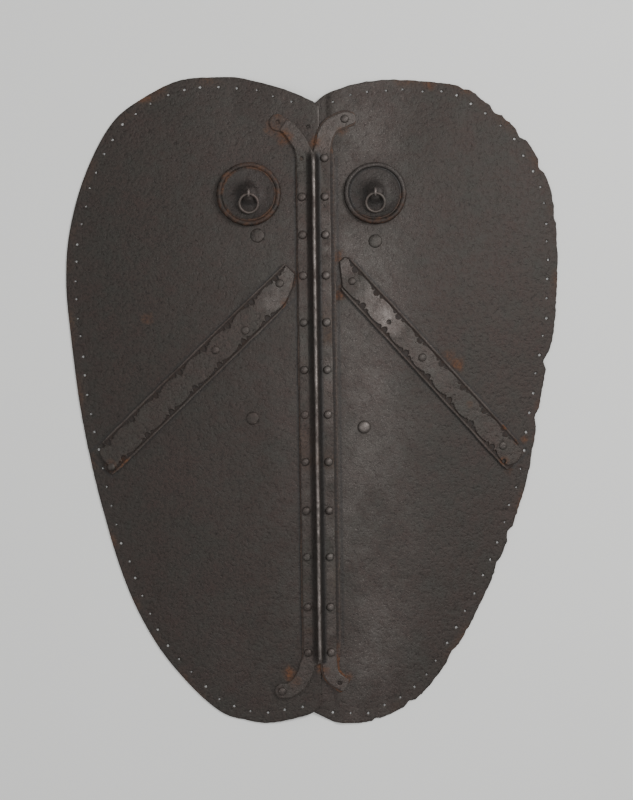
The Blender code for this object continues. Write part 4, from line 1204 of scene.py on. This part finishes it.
def band(name, path, outward, side, width, thickness, matrix):
    """A strip with rounded edges bent along a path, closed at both ends."""
    corner = 0.3
    section = [(1, 1 - corner), (1 - corner, 1), (corner - 1, 1), (-1, 1 - corner)]
    section += [(-a, -b) for a, b in section]
    verts, faces = [], []
    for point, out in zip(path, outward):
        verts += [point + side * (a * width / 2) + out * (b * thickness / 2) for a, b in section]
    sides = len(section)
    for k in range(len(path) - 1):
        for a in range(sides):
            b = (a + 1) % sides
            faces.append((k * sides + a, k * sides + b, (k + 1) * sides + b, (k + 1) * sides + a))
    faces.append(tuple(reversed(range(sides))))
    faces.append(tuple(range((len(path) - 1) * sides, len(path) * sides)))
    return add_piece(name, [matrix @ vert for vert in verts], faces, wear=0.55)


def ring_tree():
    """Geometry nodes that bend a round wire into a closed ring on every point."""
    tree = bpy.data.node_groups.new("rings", "GeometryNodeTree")
    face = tree.interface
    face.new_socket("Geometry", in_out="INPUT", socket_type="NodeSocketGeometry")
    face.new_socket("Ring Radius", in_out="INPUT", socket_type="NodeSocketFloat")
    face.new_socket("Wire Radius", in_out="INPUT", socket_type="NodeSocketFloat")
    face.new_socket("Iron", in_out="INPUT", socket_type="NodeSocketMaterial")
    face.new_socket("Geometry", in_out="OUTPUT", socket_type="NodeSocketGeometry")
    link = tree.links.new
    given = tree.nodes.new("NodeGroupInput").outputs
    path = tree.nodes.new("GeometryNodeCurvePrimitiveCircle")
    path.inputs["Resolution"].default_value = 48
    link(given["Ring Radius"], path.inputs["Radius"])
    wire = tree.nodes.new("GeometryNodeCurvePrimitiveCircle")
    wire.inputs["Resolution"].default_value = 12
    link(given["Wire Radius"], wire.inputs["Radius"])
    sweep = tree.nodes.new("GeometryNodeCurveToMesh")
    link(path.outputs[0], sweep.inputs["Curve"])
    link(wire.outputs[0], sweep.inputs["Profile Curve"])
    smooth = tree.nodes.new("GeometryNodeSetShadeSmooth")
    link(sweep.outputs[0], smooth.inputs["Geometry"])
    spots = tree.nodes.new("GeometryNodeInstanceOnPoints")
    link(given["Geometry"], spots.inputs["Points"])
    link(smooth.outputs[0], spots.inputs["Instance"])
    real = tree.nodes.new("GeometryNodeRealizeInstances")
    link(spots.outputs[0], real.inputs[0])
    iron = tree.nodes.new("GeometryNodeSetMaterial")
    link(real.outputs[0], iron.inputs["Geometry"])
    link(given["Iron"], iron.inputs["Material"])
    link(iron.outputs[0], tree.nodes.new("NodeGroupOutput").inputs[0])
    return tree


RINGS = ring_tree()
roundel_iron = forged_iron("roundel iron", 0.52, 0.0, 0.0, 0.00025, 0.54)
ring_iron = forged_iron("ring iron", 1.5, 0.16, 0.0, 0.00015, 0.55)


def roundel_marks(radius, rust_turn, rust_share, seed):
    def marks(x, y):
        out, angle = np.hypot(x, y), np.arctan2(y, x)
        groove = np.exp(-(((out - radius + 0.0070) / 0.0016) ** 2))
        rim = np.clip((out - radius + 0.0075) / 0.002, 0, 1)
        away = abs((angle - math.radians(rust_turn) + math.pi) % math.tau - math.pi) / math.pi
        where = np.clip((rust_share + 0.15 - away) / 0.15, 0, 1)
        patchy = np.clip(0.6 + 0.8 * wander(x, y, 0.007, seed), 0, 1)
        boss = np.clip(1 - abs(out - 0.0125) / 0.005, 0, 1)
        # lit: lighter towards the upper right, where the light falls
        lit = np.clip(0.4 + (x + y) / radius, 0, 1)
        return {
            # wear adds painted light on the upper right of the roundel, and wear on the rim
            "wear": 0.10 * rim * (1 - where) + 0.06 * lit,
            "rust": where * np.maximum(0.7 * groove, 0.5 * rim) * patchy,
            # Painted shade in the groove inside the rim, and a painted shadow on the lower left of the boss
            "painted_shade": np.maximum(0.8 * groove * (1 - where), 0.75 * boss * (1 - lit)),
        }

    return marks


for side, ((x, y), radius, (rust_turn, rust_share)) in ROUNDELS.items():
    frame_here = seat(x, y, ROUNDEL_LIFT)
    marks = roundel_marks(radius, rust_turn, rust_share, 201 if side == "left" else 211)
    disc = turned_disc(f"{side}_roundel", roundel_profile(radius), frame_here, marks, 221 if side == "left" else 231)
    dress(disc, roundel_iron, "roundel_iron", f"roundel_{side}")
    span = EYE_HALF_SPAN - EYE_THICKNESS / 2
    spring = DOME_HEIGHT + EYE_HEIGHT - EYE_HALF_SPAN
    turn = np.linspace(0, math.pi, 17)
    path = [Vector((0, span, 0))] + [Vector((0, span * math.cos(a), spring + span * math.sin(a))) for a in turn]
    path.append(Vector((0, -span, 0)))
    outward = [Vector((0, 1, 0))] + [Vector((0, math.cos(a), math.sin(a))) for a in turn] + [Vector((0, -1, 0))]
    eye = band(f"{side}_eye", path, outward, Vector((1, 0, 0)), EYE_WIDTH, EYE_THICKNESS, frame_here)
    dress(eye, ring_iron, "worn_iron", f"eye_{side}")
    top = DOME_HEIGHT + GAP + RING_WIRE_RADIUS
    foot = FLOOR + GAP + RING_WIRE_RADIUS
    tilt = math.asin((top - foot) / (2 * RING_RADIUS))
    hang = Matrix.Translation((0, -RING_TOP_OFFSET, top)) @ Matrix.Rotation(tilt, 4, "X")
    placed = frame_here @ hang @ Matrix.Translation((0, -RING_RADIUS, 0))
    ring = made_by_nodes(
        f"{side}_ring", [(0, 0, 0)], {}, RINGS,
        **{"Ring Radius": RING_RADIUS, "Wire Radius": RING_WIRE_RADIUS, "Iron": ring_iron},
    )
    ring.data.transform(placed)
    dress(ring, ring_iron, "worn_iron", f"ring_{side}")


# The table, the light and the camera. The shield lies on a pale, plain floor under soft light, and
# the camera looks straight down on it from far off, so that it is seen square on.
PICTURE_HEIGHT = 0.990  # what the camera takes in at the floor, in metres
LENS = 200
SENSOR = 36
CAMERA_TURN = -0.783  # degrees
camera_height = PICTURE_HEIGHT * LENS / SENSOR

floor_mesh = bpy.data.meshes.new("floor")
floor_mesh.from_pydata([(-6, -6, 0), (6, -6, 0), (6, 6, 0), (-6, 6, 0)], [], [(0, 1, 2, 3)])
floor = bpy.data.objects.new("floor", floor_mesh)
bpy.context.scene.collection.objects.link(floor)
paper, paper_tree, paper_shader, paper_add = finish_nodes("pale floor")
paper_place = paper_add("ShaderNodeTexCoord").outputs["Object"]
paper_tone = stretch(paper_tree, paper_add, noise_of(paper_tree, paper_add, paper_place, 1.2, 3), 0.3, 0.7)
paper_colour = blended(paper_tree, paper_add, paper_tone, (0.90, 0.90, 0.875), (0.93, 0.93, 0.91))
paper_tree.links.new(paper_colour, paper_shader.inputs["Base Color"])
paper_shader.inputs["Roughness"].default_value = 0.9
floor_mesh.materials.append(paper)


def soft_light(name, place, aim, size, power):
    data = bpy.data.lights.new(name, "AREA")
    data.shape = "DISK"
    data.size = size
    data.energy = power
    lamp = bpy.data.objects.new(name, data)
    lamp.location = place
    lamp.rotation_euler = (Vector(aim) - Vector(place)).to_track_quat("-Z", "Y").to_euler()
    bpy.context.scene.collection.objects.link(lamp)


soft_light("key", (1.5, 1.0, 2.0), (0, 0, 0), 1.2, 42)
soft_light("overhead", (0.25, 0.1, 4.8), (0, 0, 0), 0.35, 60)
soft_light("fill", (-2.2, -0.6, 1.8), (0, 0, 0), 1.6, 8)

world = bpy.data.worlds.new("studio")
world.use_nodes = True
world.node_tree.nodes["Background"].inputs["Color"].default_value = (0.98, 0.99, 1.0, 1)
world.node_tree.nodes["Background"].inputs["Strength"].default_value = 0.35
bpy.context.scene.world = world

camera_data = bpy.data.cameras.new("camera")
camera_data.lens = LENS
camera_data.sensor_width = SENSOR
camera = bpy.data.objects.new("camera", camera_data)
camera.location = (KEEL_X, 0, camera_height)
camera.rotation_euler = (0, 0, math.radians(CAMERA_TURN))
bpy.context.scene.collection.objects.link(camera)
bpy.context.scene.camera = camera
